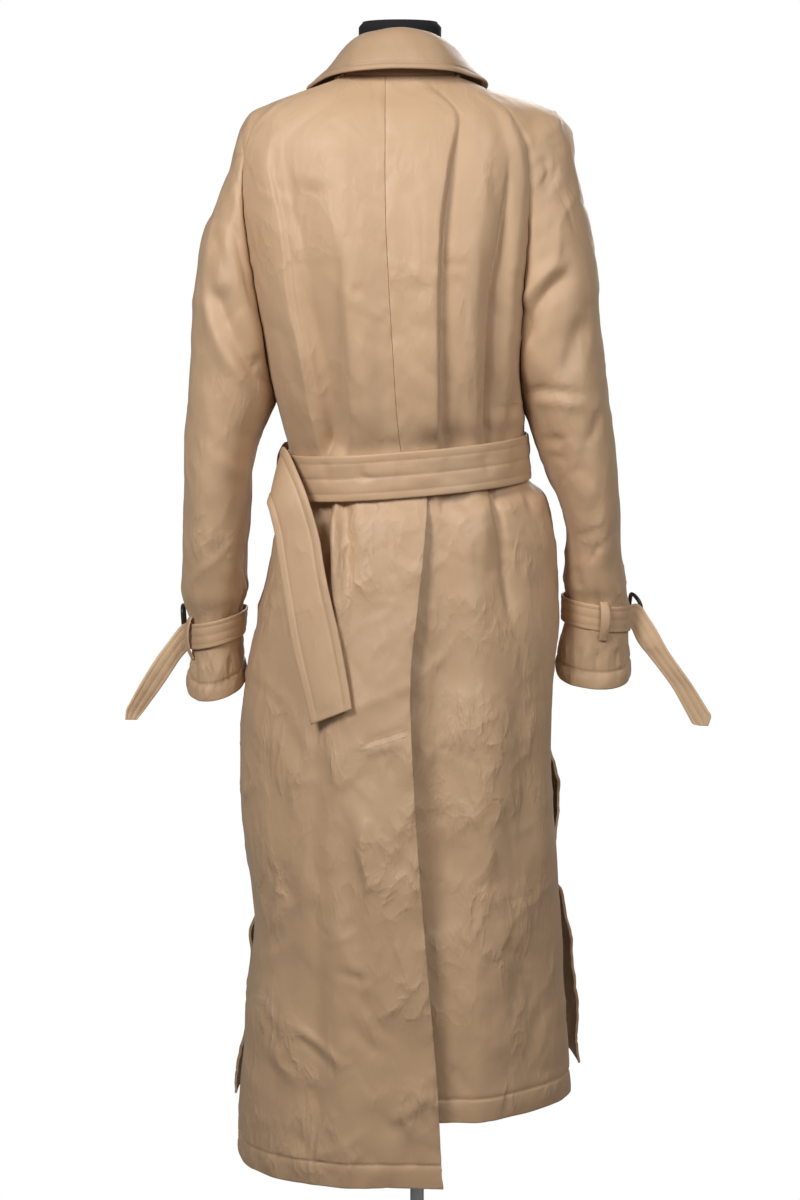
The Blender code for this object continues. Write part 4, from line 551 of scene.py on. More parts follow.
# The side seams end in vents, where the front's edge turns forward, away from the back's, and
# stands out past it: how far round it lies, in degrees, and how much farther out.
sideVents = {
    "left": rowsOf("z turn out",
        (200, 10, 11.5), (260, 10, 10.5), (320, 9, 3.5), (400, 8, 3.5), (434, 7, 9), (472, 4, -1),
        (500, 0, 0)),
    "right": rowsOf("z turn out",
        (240, 12, 33), (267, 12, 32.6), (289, 12, 30), (328, 12, 32.4), (399, 12, 30),
        (427, 11, 29), (445, 11, 25.6), (478, 10, 19), (496, 8, 10), (516, 6, 3), (534, 6, 8),
        (561, 7, 12), (595, 8, 18), (625, 6, 15.5), (667, 3, 4), (695, 0, 0)),
}


def linePlace(line, z, side, face, before):
    kind, table = foldLines[line]
    out = along(table, "out", z)
    if kind == "side":
        seam = angleAt(along(raglanSeams, face + side.capitalize(), z), z, face)
        straight = 180.0 if side == "left" else (0.0 if face == "back" else 360.0)
        if face == "front":
            turn = along(sideVents[side], "turn", z)
            straight = straight + (turn if side == "left" else -turn)
            out = out + along(sideVents[side], "out", z)
        above = z > underarmZ
        return np.where(above, seam, straight), np.where(above, 0.0, out)
    if kind == "share":
        end = linePlace("side" + side.capitalize(), z, side, face, None)[0]
        return mix(before, end, along(table, "share", z)), out
    return angleAt(along(table, "x", z), z, kind), out


# Angle and stand-out of the places of a panel: columns count along its fold lines
def panelPlace(panel, column, z):
    side, face, lines = bodyPanels[panel]
    places, before = [], None
    for line, _ in lines:
        places.append(linePlace(line, z, side, face, before))
        before = places[-1][0]
    angle, out = places[-1]
    start = 0
    for index, (line, count) in enumerate(lines[:-1]):
        inside = (column >= start) & (column < start + count)
        share = (column - start) / count
        angle = np.where(inside, mix(places[index][0], places[index + 1][0], share), angle)
        out = np.where(inside, mix(places[index][1], places[index + 1][1], ease(share)), out)
        start += count
    return angle, out


# Outward directions of a grid of points; `toward` is a rough direction that they should agree with
def gridNormals(grid, toward, ring=False):
    if ring:
        across = np.roll(grid, -1, axis=1) - np.roll(grid, 1, axis=1)
    else:
        across = np.gradient(grid, axis=1)
    normals = unit(np.cross(np.gradient(grid, axis=0), across))
    return normals if np.sum(normals * toward) > 0 else -normals


# Distance of each point from the first row, or from the first column
def walked(grid, axis):
    pad = [(0, 0), (0, 0)]
    pad[axis] = (1, 0)
    strides = np.linalg.norm(np.diff(grid, axis=axis), axis=-1)
    return np.cumsum(np.pad(strides, pad), axis=axis)


# Shares from 0 to 1, about `spacing` apart, closer at both ends and round the places in `fine`
def steps(length, spacing, fine=(), reach=0.0030, pitch=0.0010):
    ends = (0.0004, 0.0010, 0.0020, 0.0034)
    places = list(np.linspace(0, length, max(int(round(length / spacing)), 2) + 1))
    places = [p for p in places if ends[-1] * 1.4 < p < length - ends[-1] * 1.4]
    places += [0.0, length, *ends] + [length - end for end in ends]
    for middle in fine:
        places = [p for p in places if abs(p - middle) > reach + pitch]
        places += list(middle + np.linspace(-reach, reach, 2 * int(round(reach / pitch)) + 1))
    return np.array(sorted(places)) / length


# A closed wall on an outer face. Each named edge is rounded: (radius, share of the wall taken off)
def clothWall(name, outer, toward, edges, ring=False, back=None):
    rows, columns = outer.shape[:2]
    if back is None:
        back = outer - gridNormals(outer, toward, ring) * wallThickness
    down, over = walked(outer, 0), walked(outer, 1)
    away = {"low": down, "high": down[-1:] - down, "left": over, "right": over[:, -1:] - over}
    keep = np.ones((rows, columns))
    for edge, (radius, share) in edges.items():
        part = 1 - np.clip(away[edge] / radius, 0, 1)
        keep = np.minimum(keep, 1 - share * (1 - np.sqrt(np.maximum(1 - part ** 2, 0))))
    keep = np.maximum(keep, 0.12)[..., None]
    face = mix(outer, back, (1 - keep) / 2)
    back = mix(outer, back, (1 + keep) / 2)
    points = np.concatenate((face.reshape(-1, 3), back.reshape(-1, 3)))
    index = np.arange(rows * columns).reshape(rows, columns)
    inner = index + rows * columns

    def strip(*pair):
        (a, b), (d, c) = [(row, np.roll(row, -1, axis=-1)) if ring else
                          (row[..., :-1], row[..., 1:]) for row in pair]
        return np.stack((a, b, c, d), -1).reshape(-1, 4)

    faces = [strip(index[:-1], index[1:]), strip(inner[:-1], inner[1:])[:, ::-1]]
    smooth = sum(len(part) for part in faces)
    faces += [strip(inner[:1], index[:1]), strip(index[-1:], inner[-1:])]
    if not ring:
        first, last, low, high = index[:, 0], index[:, -1], inner[:, 0], inner[:, -1]
        faces.append(np.stack((first[:-1], first[1:], low[1:], low[:-1]), -1))
        faces.append(np.stack((last[1:], last[:-1], high[:-1], high[1:]), -1))
    faces = np.concatenate(faces)
    uv = np.stack((over, down), -1).reshape(-1, 2)
    piece = meshPiece(name, points, faces, np.concatenate((uv, uv)))
    # the rim meets both faces at a crisp edge
    rim = piece.data.attributes.new("sharp_face", "BOOLEAN", "FACE")
    rim.data.foreach_set("value", np.arange(len(faces)) >= smooth)
    return piece


def roundedEdges(radius, share, names="low high left right"):
    return {name: (radius, share) for name in names.split()}


def newObject(name, data):
    made = bpy.data.objects.new(name, data)
    bpy.context.scene.collection.objects.link(made)
    return made


def meshPiece(name, points, faces, uv=None):
    corners = points[faces]
    volume = np.sum(corners[:, 0] * np.cross(corners[:, 1], corners[:, 2])
                    + corners[:, 0] * np.cross(corners[:, 2], corners[:, 3]))
    if volume < 0:
        faces = faces[:, ::-1]
    mesh = bpy.data.meshes.new(name)
    mesh.vertices.add(len(points))
    mesh.vertices.foreach_set("co", points.astype(np.float32).ravel())
    mesh.loops.add(faces.size)
    mesh.loops.foreach_set("vertex_index", faces.astype(np.int32).ravel())
    mesh.polygons.add(len(faces))
    mesh.polygons.foreach_set("loop_start", np.arange(0, faces.size, 4, dtype=np.int32))
    mesh.update(calc_edges=True)
    mesh.validate()
    if uv is not None:
        layer = mesh.uv_layers.new(name="cloth")
        layer.data.foreach_set("uv", uv[faces.ravel()].astype(np.float32).ravel())
    mesh.shade_smooth()
    return newObject(name, mesh)


# The places along a crease, as a bow through its three points
def creaseCurve(row, count=15):
    t = np.linspace(0, 1, count)[:, None]
    a, b, c = row[0:2], row[2:4], row[4:6]
    bow = 2 * b - (a + c) / 2
    return a * (1 - t) ** 2 + bow * 2 * t * (1 - t) + c * t * t


def creaseHeight(points, table):
    x, z = points[..., 0], points[..., 2]
    height = np.zeros(x.shape)
    for row in table:
        curve = creaseCurve(row)
        left, right, depth, fadeIn, fadeOut = row[6:11]
        reach = 2.4 * max(left, right)
        low, high = curve.min(0) - reach, curve.max(0) + reach
        near = (x > low[0]) & (x < high[0]) & (z > low[1]) & (z < high[1])
        if not near.any():
            continue
        place = np.stack((x[near], z[near]), -1)
        best = np.full(len(place), 1e9)
        side, share = np.zeros(len(place)), np.zeros(len(place))
        for i in range(len(curve) - 1):
            a, run = curve[i], curve[i + 1] - curve[i]
            t = np.clip((place - a) @ run / (run @ run), 0, 1)
            gap = place - a - t[:, None] * run
            distance = np.hypot(gap[:, 0], gap[:, 1])
            closer = distance < best
            best = np.where(closer, distance, best)
            side = np.where(closer, run[0] * gap[:, 1] - run[1] * gap[:, 0], side)
            share = np.where(closer, (i + t) / (len(curve) - 1), share)
        width = np.where(side > 0, right, left)
        fade = ease(share / max(fadeIn, 1e-3)) * ease((1 - share) / max(fadeOut, 1e-3))
        height[near] += depth * fading(best, width) * fade
    return height


# Soft unevenness of padded cotton: a sum of waves in directions drawn from a fixed seed
def unevenness(points, seed, size, stretch=1.0, count=22):
    draw = np.random.default_rng(seed)
    total = np.zeros(points.shape[:-1])
    scaled = points * np.array((1.0, 1.0, 1.0 / stretch))
    for _ in range(count):
        direction = unit(draw.normal(size=3))
        wave = size * draw.uniform(0.6, 1.8)
        total += np.sin(scaled @ direction * (2 * math.pi / wave) + draw.uniform(0, 2 * math.pi))
    return total / math.sqrt(count)


# Short narrow creases lying at many angles, some raised and some sunk, in uneven patches
def crumple(points, seed, size, count=10, sharp=3.0):
    draw = np.random.default_rng(seed)
    bent = points + 0.16 * size * np.stack([unevenness(points, seed + 50 + i, size * 1.6, count=7)
                                            for i in range(3)], -1)
    total = np.zeros(points.shape[:-1])
    for index in range(count):
        lean = draw.uniform(-1.0, 1.0) * (1.1 if index % 3 else 2.6)
        direction = unit(np.array((1.0, draw.uniform(-0.5, 0.5), lean)))
        wave = size * draw.uniform(0.8, 1.7)
        phase = bent @ direction * (math.pi / wave) + draw.uniform(0, math.pi)
        ridge = (1 - np.abs(np.sin(phase))) ** sharp
        patch = unevenness(points, seed + 100 + index, size * 2.2, stretch=1.5, count=7)
        total += ridge * ease(patch - 0.35) * (1 if index % 2 else -1)
    return total


# A sewn seam draws the cloth in along a shallow groove, with small uneven puckers beside it
seamStyle = {"deep": 0.0008, "wide": 0.0026, "pucker": 0.0005, "reach": 0.0110, "every": 0.017}


def seamHeight(points, away, seed):
    puckers = unevenness(points, seed, seamStyle["every"], count=9)
    return (-seamStyle["deep"] * fading(away, seamStyle["wide"])
            + seamStyle["pucker"] * puckers * fading(away, seamStyle["reach"]))


# A turned hem: the cloth swells up to its row of stitches and sinks at it
def hemHeight(away, style):
    inHem = np.clip(away / style["hemDepth"], 0, 1)
    return (style["hemPuff"] * np.sin(math.pi * inHem) ** 0.8 * (inHem < 1),
            style["hemGroove"] * fading(away - style["hemDepth"], 0.0020))


bodyStyle = {"spacing": 0.0040, "neckLength": 0.352, "hemDepth": 0.027, "hemPuff": 0.0009,
             "hemGroove": 0.0010, "hemPucker": 0.0007, "puckerSize": 0.024, "puckerAt": 0.6,
             "beltFade": 0.022, "neckFade": 0.020, "lump": 0.0010, "lumpSize": 0.085,
             "fine": 0.00025, "fineSize": 0.032, "crumple": 0.0018, "crumpleSize": 0.070,
             "crumpleAbove": 0.45, "nip": 0.0011, "nipSize": 0.046, "samples": 300,
             "measuredAt": (0.45, 1.20)}
neckShares = steps(bodyStyle["neckLength"], bodyStyle["spacing"])


# Keeps the cloth where the belt binds it and where the collar holds it
def heldIn(height, z, share):
    free = ease(outside(z, beltBottomZ, beltTopZ) / bodyStyle["beltFade"])
    held = np.where(height < 0, height * mix(0.7, 1.0, free), height * free)
    return held * ease((1 - share) * bodyStyle["neckLength"] / bodyStyle["neckFade"])


# The column of a panel at which one of its fold lines stands
def columnOf(panel, line):
    lines = bodyPanels[panel][2]
    return sum(count for _, count in lines[:[name for name, _ in lines].index(line)])


def panelGrid(panel):
    side, face, lines = bodyPanels[panel]
    count = sum(number for _, number in lines)
    dense = np.linspace(0, count, bodyStyle["samples"])
    lengths = []
    for z in bodyStyle["measuredAt"]:
        level = np.full(len(dense), z)
        line = sectionPoint(panelPlace(panel, dense, level)[0], level)
        lengths.append(walked(line[None], 1)[0])
    length = sum(lengths) / len(lengths)
    folds = crispFolds.get(panel, {})
    fine = [np.interp(columnOf(panel, line), dense, length) for line in folds]
    shares = steps(length[-1], bodyStyle["spacing"], fine=fine, reach=0.0100, pitch=0.0020)
    columns = np.interp(shares * length[-1], length, dense)
    low = steps(beltBottomZ - 0.23, bodyStyle["spacing"], fine=(bodyStyle["hemDepth"],))[:, None]
    column = np.broadcast_to(columns, (len(low), len(columns)))
    level = np.broadcast_to(mix(0.25, beltBottomZ, low), column.shape)
    angle = panelPlace(panel, column, level)[0]
    skirt = mix(along(hemHeights, side, angle), beltBottomZ, low)
    waist = np.linspace(beltBottomZ, underarmZ, 18)[1:, None] + 0 * columns
    share = neckShares[1:, None]
    middle = mix(underarmZ, neckHeights[face + "Middle"], share)
    seam = mix(underarmZ, neckHeights[face + "Seam"], share)
    top = mix(middle, seam, ease(columns / count))
    z = np.concatenate((skirt, waist, top))
    neckShare = np.concatenate((np.zeros((len(skirt) + len(waist), 1)), share)) + 0 * columns
    angle, out = panelPlace(panel, np.broadcast_to(columns, z.shape), z)
    normal = sectionNormal(angle, z)
    points = sectionPoint(angle, z) + normal * out[..., None]
    facing = ease(np.abs(normal[..., 1]) * 1.5)
    creases = backCreases if face == "back" else frontCreases
    height = creaseHeight(points, creases[side]) * facing
    height += bodyStyle["lump"] * unevenness(points, 11, bodyStyle["lumpSize"], stretch=2.2)
    height += bodyStyle["fine"] * unevenness(points, 12, bodyStyle["fineSize"], stretch=1.5)
    worn = mix(1.0, bodyStyle["crumpleAbove"], ease((z - 0.93) / 0.10))
    height += bodyStyle["crumple"] * worn * crumple(points, 13, bodyStyle["crumpleSize"])
    height += bodyStyle["nip"] * worn * crumple(points, 17, bodyStyle["nipSize"], sharp=6.0)
    over = walked(points, 1)
    for line, fold in folds.items():
        offset, inner, outer, deep = (along(fold, name, z[:, 0])[:, None]
                                      for name in ("offset", "inner", "outer", "deep"))
        lineAt = np.array([[np.interp(columnOf(panel, line), columns, row)] for row in over])
        away = over - lineAt - offset
        height += deep * fading(away, np.where(away < 0, inner, outer))
    fromSeam = np.minimum(over, over[:, -1:] - over) if face == "back" else over[:, -1:] - over
    height += seamHeight(points, fromSeam, 31)
    height = heldIn(height, z, neckShare)
    fromHem = walked(points, 0)
    swell, groove = hemHeight(fromHem, bodyStyle)
    height += swell
    height -= groove
    puckers = unevenness(points, 14, bodyStyle["puckerSize"], stretch=2.0, count=9)
    height += (bodyStyle["hemPucker"] * puckers
               * fading(fromHem - bodyStyle["puckerAt"] * bodyStyle["hemDepth"], 0.020))
    return {"points": points + normal * height[..., None], "normal": normal, "columns": columns}


# Pulls a grid's last column, and the first if asked, half a seam gap back from its neighbour
def trimmed(grid, first=False):
    grid = grid.copy()
    if first:
        grid[:, 0] += unit(grid[:, 1] - grid[:, 0]) * seamGap / 2
    grid[:, -1] += unit(grid[:, -2] - grid[:, -1]) * seamGap / 2
    return grid


sleeveStyle = {"spacing": 0.0040, "halfWidth": 0.19, "fullness": 0.75, "hemDepth": 0.020,
               "hemPuff": 0.0012, "hemGroove": 0.0010, "lump": 0.0011, "lumpSize": 0.070,
               "fine": 0.0004, "fineSize": 0.030, "crumple": 0.0017, "crumpleSize": 0.054,
               "evenRows": 9.0, "evenRounds": 24}


# Half of the sleeve's rows above the underarm, from a raglan seam to the overarm seam: flat by the
# neck and round below
shoulderStyle = {"flatFrom": 0.95, "roundWithin": 0.75, "seamShare": 0.2, "fullness": 0.73,
                 "flatReach": 0.55, "flatPull": 0.4}


def shoulderHalf(seam, side, face, across):
    share = neckShares[::-1]
    outX, outZ, depth = (along(shoulderRows[side], name, share)
                         for name in ("outX", "outZ", "depth"))
    top = np.stack((outX, 0 * share, outZ), -1)
    sign = -1.0 if face == "back" else 1.0
    roundShare = ease((shoulderStyle["flatFrom"] - share) / shoulderStyle["roundWithin"])
    reach = np.abs(seam[:, 1])
    swing = (depth - shoulderStyle["seamShare"] * reach) / shoulderStyle["fullness"]
    flat = shoulderStyle["flatReach"] * reach
    turnIn = np.stack((outX, sign * mix(flat, swing, roundShare), outZ), -1)
    over = seam + (turnIn - seam) * shoulderStyle["flatPull"]
    around = np.stack((seam[:, 0], sign * swing, seam[:, 2]), -1)
    turnOut = mix(over, around, roundShare[:, None])
    return bend(*(rows[:, None] for rows in (seam, turnOut, turnIn, top)), across[None, :, None])


# A level ring of the lower sleeve at a place along its rows. `turn`: 0 inner, .25 back, .5 outer
def tubePoint(side, row, turn):
    table = sleeveRows[side]
    index = np.arange(len(table["depth"]))
    size = {name: np.interp(row, index, table[name])
            for name in ("outX", "outZ", "inX", "inZ", "depth", "forward", "drop")}
    turn = np.asarray(turn, float)[..., None]
    inner = np.array((size["inX"], size["forward"], size["inZ"]))
    outer = np.array((size["outX"], size["forward"], size["outZ"]))
    swing = np.where(turn <= 0.5, np.array((0, -size["depth"], -size["drop"])),
                     np.array((0, size["depth"], 0))) / sleeveStyle["fullness"]
    t = np.where(turn <= 0.5, turn * 2, (1 - turn) * 2)
    return bend(inner, inner + swing, outer + swing, outer, t)


# Smooth rows through rows of points, from the row `lead`, about `spacing` apart
def splineRows(rows, spacing, lead=0, fine=()):
    rows = np.asarray(rows, float)
    gaps = np.linalg.norm(np.diff(rows, axis=0), axis=-1).reshape(len(rows) - 1, -1).mean(1)
    at = np.concatenate(([0.0], np.cumsum(gaps)))
    slopes = np.empty_like(rows)
    rise = np.diff(rows, axis=0) / gaps.reshape((-1,) + (1,) * (rows.ndim - 1))
    slopes[0], slopes[-1] = rise[0], rise[-1]
    for i in range(1, len(rows) - 1):
        slopes[i] = (rise[i] * gaps[i - 1] + rise[i - 1] * gaps[i]) / (gaps[i - 1] + gaps[i])
    length = at[-1] - at[lead]
    shares = steps(length, spacing, fine=[length - f for f in fine])
    places = at[lead] + shares[(shares == 0) | (shares * length > spacing * 0.7)] * length
    i = np.clip(np.searchsorted(at, places, side="right") - 1, 0, len(rows) - 2)
    shape = (-1,) + (1,) * (rows.ndim - 1)
    width = (at[i + 1] - at[i]).reshape(shape)
    s = ((places - at[i]) / (at[i + 1] - at[i])).reshape(shape)
    return cubic(rows[i], rows[i + 1], slopes[i], slopes[i + 1], width, s)


# The whole sleeve: rows from neck to cuff, columns from the back seam over to the front seam
def sleeveGrid(side, backSeam, frontSeam):
    across = steps(sleeveStyle["halfWidth"], sleeveStyle["spacing"])
    upper = np.concatenate((shoulderHalf(backSeam, side, "back", across),
                            shoulderHalf(frontSeam, side, "front", across)[:, -2::-1]), 1)
    upper = np.concatenate((upper[:-5], upper[-1:]))
    turns = np.concatenate((across / 2, (1 - across / 2)[-2::-1]))
    lower = [tubePoint(side, row, turns) for row in range(1, len(sleeveRows[side]["depth"]))]
    rows = splineRows([upper[-3], upper[-1]] + lower, sleeveStyle["spacing"], lead=1,
                      fine=(sleeveStyle["hemDepth"],))
    grid = np.concatenate((upper, rows[1:]))
    turn = np.concatenate((across, across[-2::-1]))
    seamDistance = np.minimum(turn, 1) * sleeveStyle["halfWidth"]
    # even out the rows where the shoulder's curve passes into the arm's
    near = np.arange(len(grid)) - (len(upper) - 1)
    loose = fading(near, sleeveStyle["evenRows"])[:, None] * ease(seamDistance / 0.030)
    loose = loose[1:-1, :, None]
    for _ in range(sleeveStyle["evenRounds"]):
        grid[1:-1] += loose * ((grid[:-2] + grid[2:]) / 2 - grid[1:-1])
    middle = (grid[:, :1] + grid[:, grid.shape[1] // 2][:, None]) / 2 - up * 0.02
    normal = gridNormals(grid, grid - middle)
    for _ in range(4):
        normal[1:-1] = unit(normal[:-2] + 2 * normal[1:-1] + normal[2:])
    below = np.arange(len(grid)) >= len(upper) - 1
    shared = unit(normal[:, 0] + normal[:, -1])
    normal[below, 0] = normal[below, -1] = shared[below]
    fromNeck = walked(grid, 0)
    lower = ease((fromNeck - fromNeck[len(upper) - 1]) / 0.060)
    free = mix(ease(seamDistance / 0.022), 1.0, lower)
    facingBack = ease(-normal[..., 1] * 1.5)
    facingFront = ease(normal[..., 1] * 1.5)
    height = (creaseHeight(grid, sleeveCreases[side]) * facingBack
              + creaseHeight(grid, sleeveFrontCreases[side]) * facingFront)
    height += sleeveStyle["lump"] * unevenness(grid, 23, sleeveStyle["lumpSize"], 1.4)
    height += sleeveStyle["fine"] * unevenness(grid, 24, sleeveStyle["fineSize"], 1.2)
    height += sleeveStyle["crumple"] * crumple(grid, 25, sleeveStyle["crumpleSize"])
    height *= free
    over = walked(grid, 1)
    overarm = np.abs(over - over[:, over.shape[1] // 2][:, None])
    fromSeam = np.where(below[:, None], np.minimum(overarm, seamDistance), overarm)
    height += seamHeight(grid, fromSeam, 41)
    raglan = np.minimum(over, walked(grid[:, ::-1], 1)[:, ::-1])
    height -= seamStyle["deep"] * 0.6 * fading(raglan - 0.003, 0.003) * ~below[:, None]
    height *= ease(fromNeck / 0.03)
    fromCuff = fromNeck[-1:] - fromNeck
    height += gatherHeight(side, turns, fromCuff)
    swell, groove = hemHeight(fromCuff, sleeveStyle)
    height += swell
    height -= groove
    return grid + normal * height[..., None]


# Pleats that the cuff strap draws in, above and below it
gatherStyle = {"strapLow": 0.046, "strapHigh": 0.082, "reach": 0.030, "start": 0.006}


def gatherHeight(side, turns, fromCuff):
    away = outside(fromCuff, gatherStyle["strapLow"], gatherStyle["strapHigh"])
    fade = fading(away, gatherStyle["reach"]) * ease(away / gatherStyle["start"])
    wave = np.zeros(turns.shape)
    for turn, width, deep in columnsOf(gathers[side], "turn width deep"):
        gap = np.minimum(np.abs(turns - turn), 1 - np.abs(turns - turn))
        wave = wave + deep * fading(gap, width)
    return wave[None, :] * fade


gathers = {
    "left": rowsOf("turn width deep",
        (0.06, 0.012, -3), (0.11, 0.01, 1.6), (0.15, 0.012, -3.6), (0.21, 0.014, 1.4),
        (0.27, 0.011, -1.8), (0.33, 0.013, 1.8), (0.375, 0.009, -3), (0.42, 0.01, 1.8),
        (0.455, 0.008, -2.6), (0.56, 0.013, -2.6), (0.64, 0.014, 1.6), (0.72, 0.012, -3),
        (0.81, 0.013, 1.4), (0.88, 0.012, -2.6), (0.95, 0.012, 1.4)),
    "right": rowsOf("turn width deep",
        (0.05, 0.012, -2.2), (0.1, 0.011, 1.6), (0.165, 0.012, -2.2), (0.215, 0.009, 2.2),
        (0.25, 0.008, -3.6), (0.3, 0.012, 2), (0.35, 0.01, -2.4), (0.42, 0.012, 1.4),
        (0.47, 0.01, -2.2), (0.57, 0.013, -2.4), (0.65, 0.014, 1.6), (0.73, 0.012, -2.8),
        (0.82, 0.013, 1.4), (0.89, 0.012, -2.4), (0.95, 0.012, 1.4)),
}


collarStyle = {"length": 0.62, "columns": 190, "spacing": 0.0030, "rollEnd": 84.0,
               "pointEnd": 66.0, "rollOut": 0.0070, "rollDown": 0.0025, "stitchIn": 0.0075,
               "groove": 0.0008, "puff": 0.0007, "lump": 0.0006, "lumpSize": 0.06}
standStyle = {"spacing": 0.0035, "seamGap": 0.0008, "round": 0.0045}


def aroundNeck(angle, radius, z):
    c, s = np.cos(np.radians(angle)), np.sin(np.radians(angle))
    return np.stack((bodyX + radius * c, -radius * s, z), -1)


def collarLeafGrid():
    share = steps(collarStyle["length"], collarStyle["length"] / collarStyle["columns"])
    rollAngle = mix(180 + collarStyle["rollEnd"], -collarStyle["rollEnd"], share)
    edgeAngle = mix(180 + collarStyle["pointEnd"], -collarStyle["pointEnd"], share)
    top, edge = (aroundNeck(angle, along(collarSizes, size, angle), along(collarSizes, z, angle))
                 for angle, size, z in ((rollAngle, "roll", "rollZ"),
                                        (edgeAngle, "reach", "edgeZ")))
    outward = edge - top
    outward[:, 2] = 0
    outward = unit(outward)
    fall = unit(edge - top)
    face = unit(up - fall * fall[:, 2:3])
    over = top + outward * collarStyle["rollOut"] - up * collarStyle["rollDown"]
    puff = face * along(collarSizes, "puff", rollAngle)[:, None]
    rows = [top, over, mix(over, edge, 0.5) + puff, edge]
    return splineRows(rows, collarStyle["spacing"], fine=(collarStyle["stitchIn"],))


def buildCollarLeaf():
    grid = collarLeafGrid()
    normal = gridNormals(grid, up)
    down, over = walked(grid, 0), walked(grid, 1)
    near = np.minimum(down[-1:] - down, np.minimum(over, over[:, -1:] - over))
    inEdge = np.clip(near / collarStyle["stitchIn"], 0, 1)
    height = -collarStyle["groove"] * fading(near - collarStyle["stitchIn"], 0.0015)
    height += collarStyle["puff"] * np.sin(math.pi * inEdge)
    lumps = unevenness(grid, 31, collarStyle["lumpSize"])
    height += collarStyle["lump"] * lumps * ease(near / 0.01)
    grid = grid + normal * height[..., None]
    edges = roundedEdges(0.0017, 0.95) | {"low": (0.0016, 0.9)}
    return clothWall("collarLeaf", grid, up, edges), grid, normal


# The stand rises from the neck seam to the roll line. Its face side looks at the neck
def buildCollarStand(neck, normal):
    alongNeck = unit(np.gradient(neck, axis=0))
    lift = unit(np.cross(normal, alongNeck)) * standStyle["seamGap"]
    inward = np.stack((bodyX - neck[:, 0], -neck[:, 1], np.full(len(neck), 0.02)), -1)
    lift = np.where(np.sum(lift * inward, -1, keepdims=True) < 0, -lift, lift)
    angle = np.degrees(np.arctan2(-neck[:, 1], neck[:, 0] - bodyX))
    angle = np.where(angle < -90, angle + 360, angle)
    angle = np.clip(angle, -collarStyle["rollEnd"], 180 + collarStyle["rollEnd"])
    roll = along(collarSizes, "roll", angle) - lapGap
    top = aroundNeck(angle, roll, along(collarSizes, "rollZ", angle))
    under = aroundNeck(angle, roll - standStyle["round"], top[:, 2] - standStyle["round"])
    outward = top - np.array((bodyX, 0, 0))
    outward[:, 2] = 0
    outward = unit(outward)
    faceRows = [neck - normal * wallThickness + lift, under, top]
    backRows = [neck + lift, under + outward * wallThickness, top - up * wallThickness]
    both = splineRows(np.stack((faceRows, backRows), 2), standStyle["spacing"])
    return clothWall("collarStand", both[:, :, 0], -outward, back=both[:, :, 1],
                     edges=roundedEdges(0.0015, 0.9, "left right") | {"high": (0.0015, 0.8)})


beltStyle = {"columns": 230, "spacing": 0.0022, "wall": 0.0030, "bridge": 0.0045,
             "bridgeAt": 275.0, "bridgeReach": 55.0, "bridgeFade": 20.0, "stitchIn": 0.0085,
             "puff": 0.0003, "groove": 0.0003, "middle": 0.0005, "wrinkle": 0.0006,
             "wrinkleSize": 0.045}
knotProfile = rowsOf("out rise",
    (1, 25.6), (8, 29.5), (15, 20), (17.5, 0), (15, -20), (8, -29.5), (1, -25.6))


# In front the belt lies farther out, over the overlap
def beltStandOff(angle):
    away = np.abs(angle % 360 - beltStyle["bridgeAt"])
    share = ease((beltStyle["bridgeReach"] - away) / beltStyle["bridgeFade"])
    return lapGap + beltStyle["bridge"] * share


# Grooves at stitch rows and the swell of the cloth between them, across a strip
stripStyle = {"edgeGroove": 0.0014, "middleGroove": 0.0018, "edgePuff": 0.6}


def stripHeight(share, width, stitchIn, puff, groove, middle=0.0):
    across = share * width
    fromEdge = np.minimum(across, width - across)
    inner = np.clip((fromEdge - stitchIn) / (width / 2 - stitchIn), 0, 1)
    height = puff * np.sin(math.pi * np.clip(fromEdge / stitchIn, 0, 1)) * stripStyle["edgePuff"]
    height = height + puff * np.sin(math.pi * inner * (0.5 if middle == 0 else 1.0))
    return (height - groove * fading(fromEdge - stitchIn, stripStyle["edgeGroove"])
            - middle * fading(across - width / 2, stripStyle["middleGroove"]))


# Places on the body's section at one height, with their level outward directions
def levelRing(angles, z):
    z = np.full(len(angles), z)
    return sectionPoint(angles, z), unit(sectionNormal(angles, z) * np.array((1, 1, 0)))


def buildBelt():
    angles = np.linspace(0, 360, beltStyle["columns"], endpoint=False)
    edges = [levelRing(angles, z) for z in (beltBottomZ, beltTopZ)]
    fine = (beltStyle["stitchIn"], beltWidth / 2, beltWidth - beltStyle["stitchIn"])
    share = steps(beltWidth, beltStyle["spacing"], fine=fine, reach=0.0020)[:, None, None]
    middle = mix(edges[0][0], edges[1][0], share)
    flat = unit(mix(edges[0][1], edges[1][1], share))
    inner = middle + flat * beltStandOff(angles)[None, :, None]
    height = stripHeight(share[..., 0], beltWidth, beltStyle["stitchIn"], beltStyle["puff"],
                         beltStyle["groove"], beltStyle["middle"])
    outer = inner + flat * (beltStyle["wall"] + height[..., None])
    creases = creaseHeight(outer, beltCreases) * ease(-flat[..., 1] * 1.4)
    wrinkles = unevenness(outer, 41, beltStyle["wrinkleSize"], stretch=0.5)
    creases = creases + beltStyle["wrinkle"] * wrinkles
    outer = outer + flat * creases[..., None]
    belt = clothWall("tieBelt", outer, flat, ring=True, back=inner,
                     edges=roundedEdges(0.0016, 0.9, "low high"))
    return belt, outer, flat


knotStyle = {"from": 198, "to": 214, "columns": 20, "pinch": 0.0014, "finePinch": 0.0010}


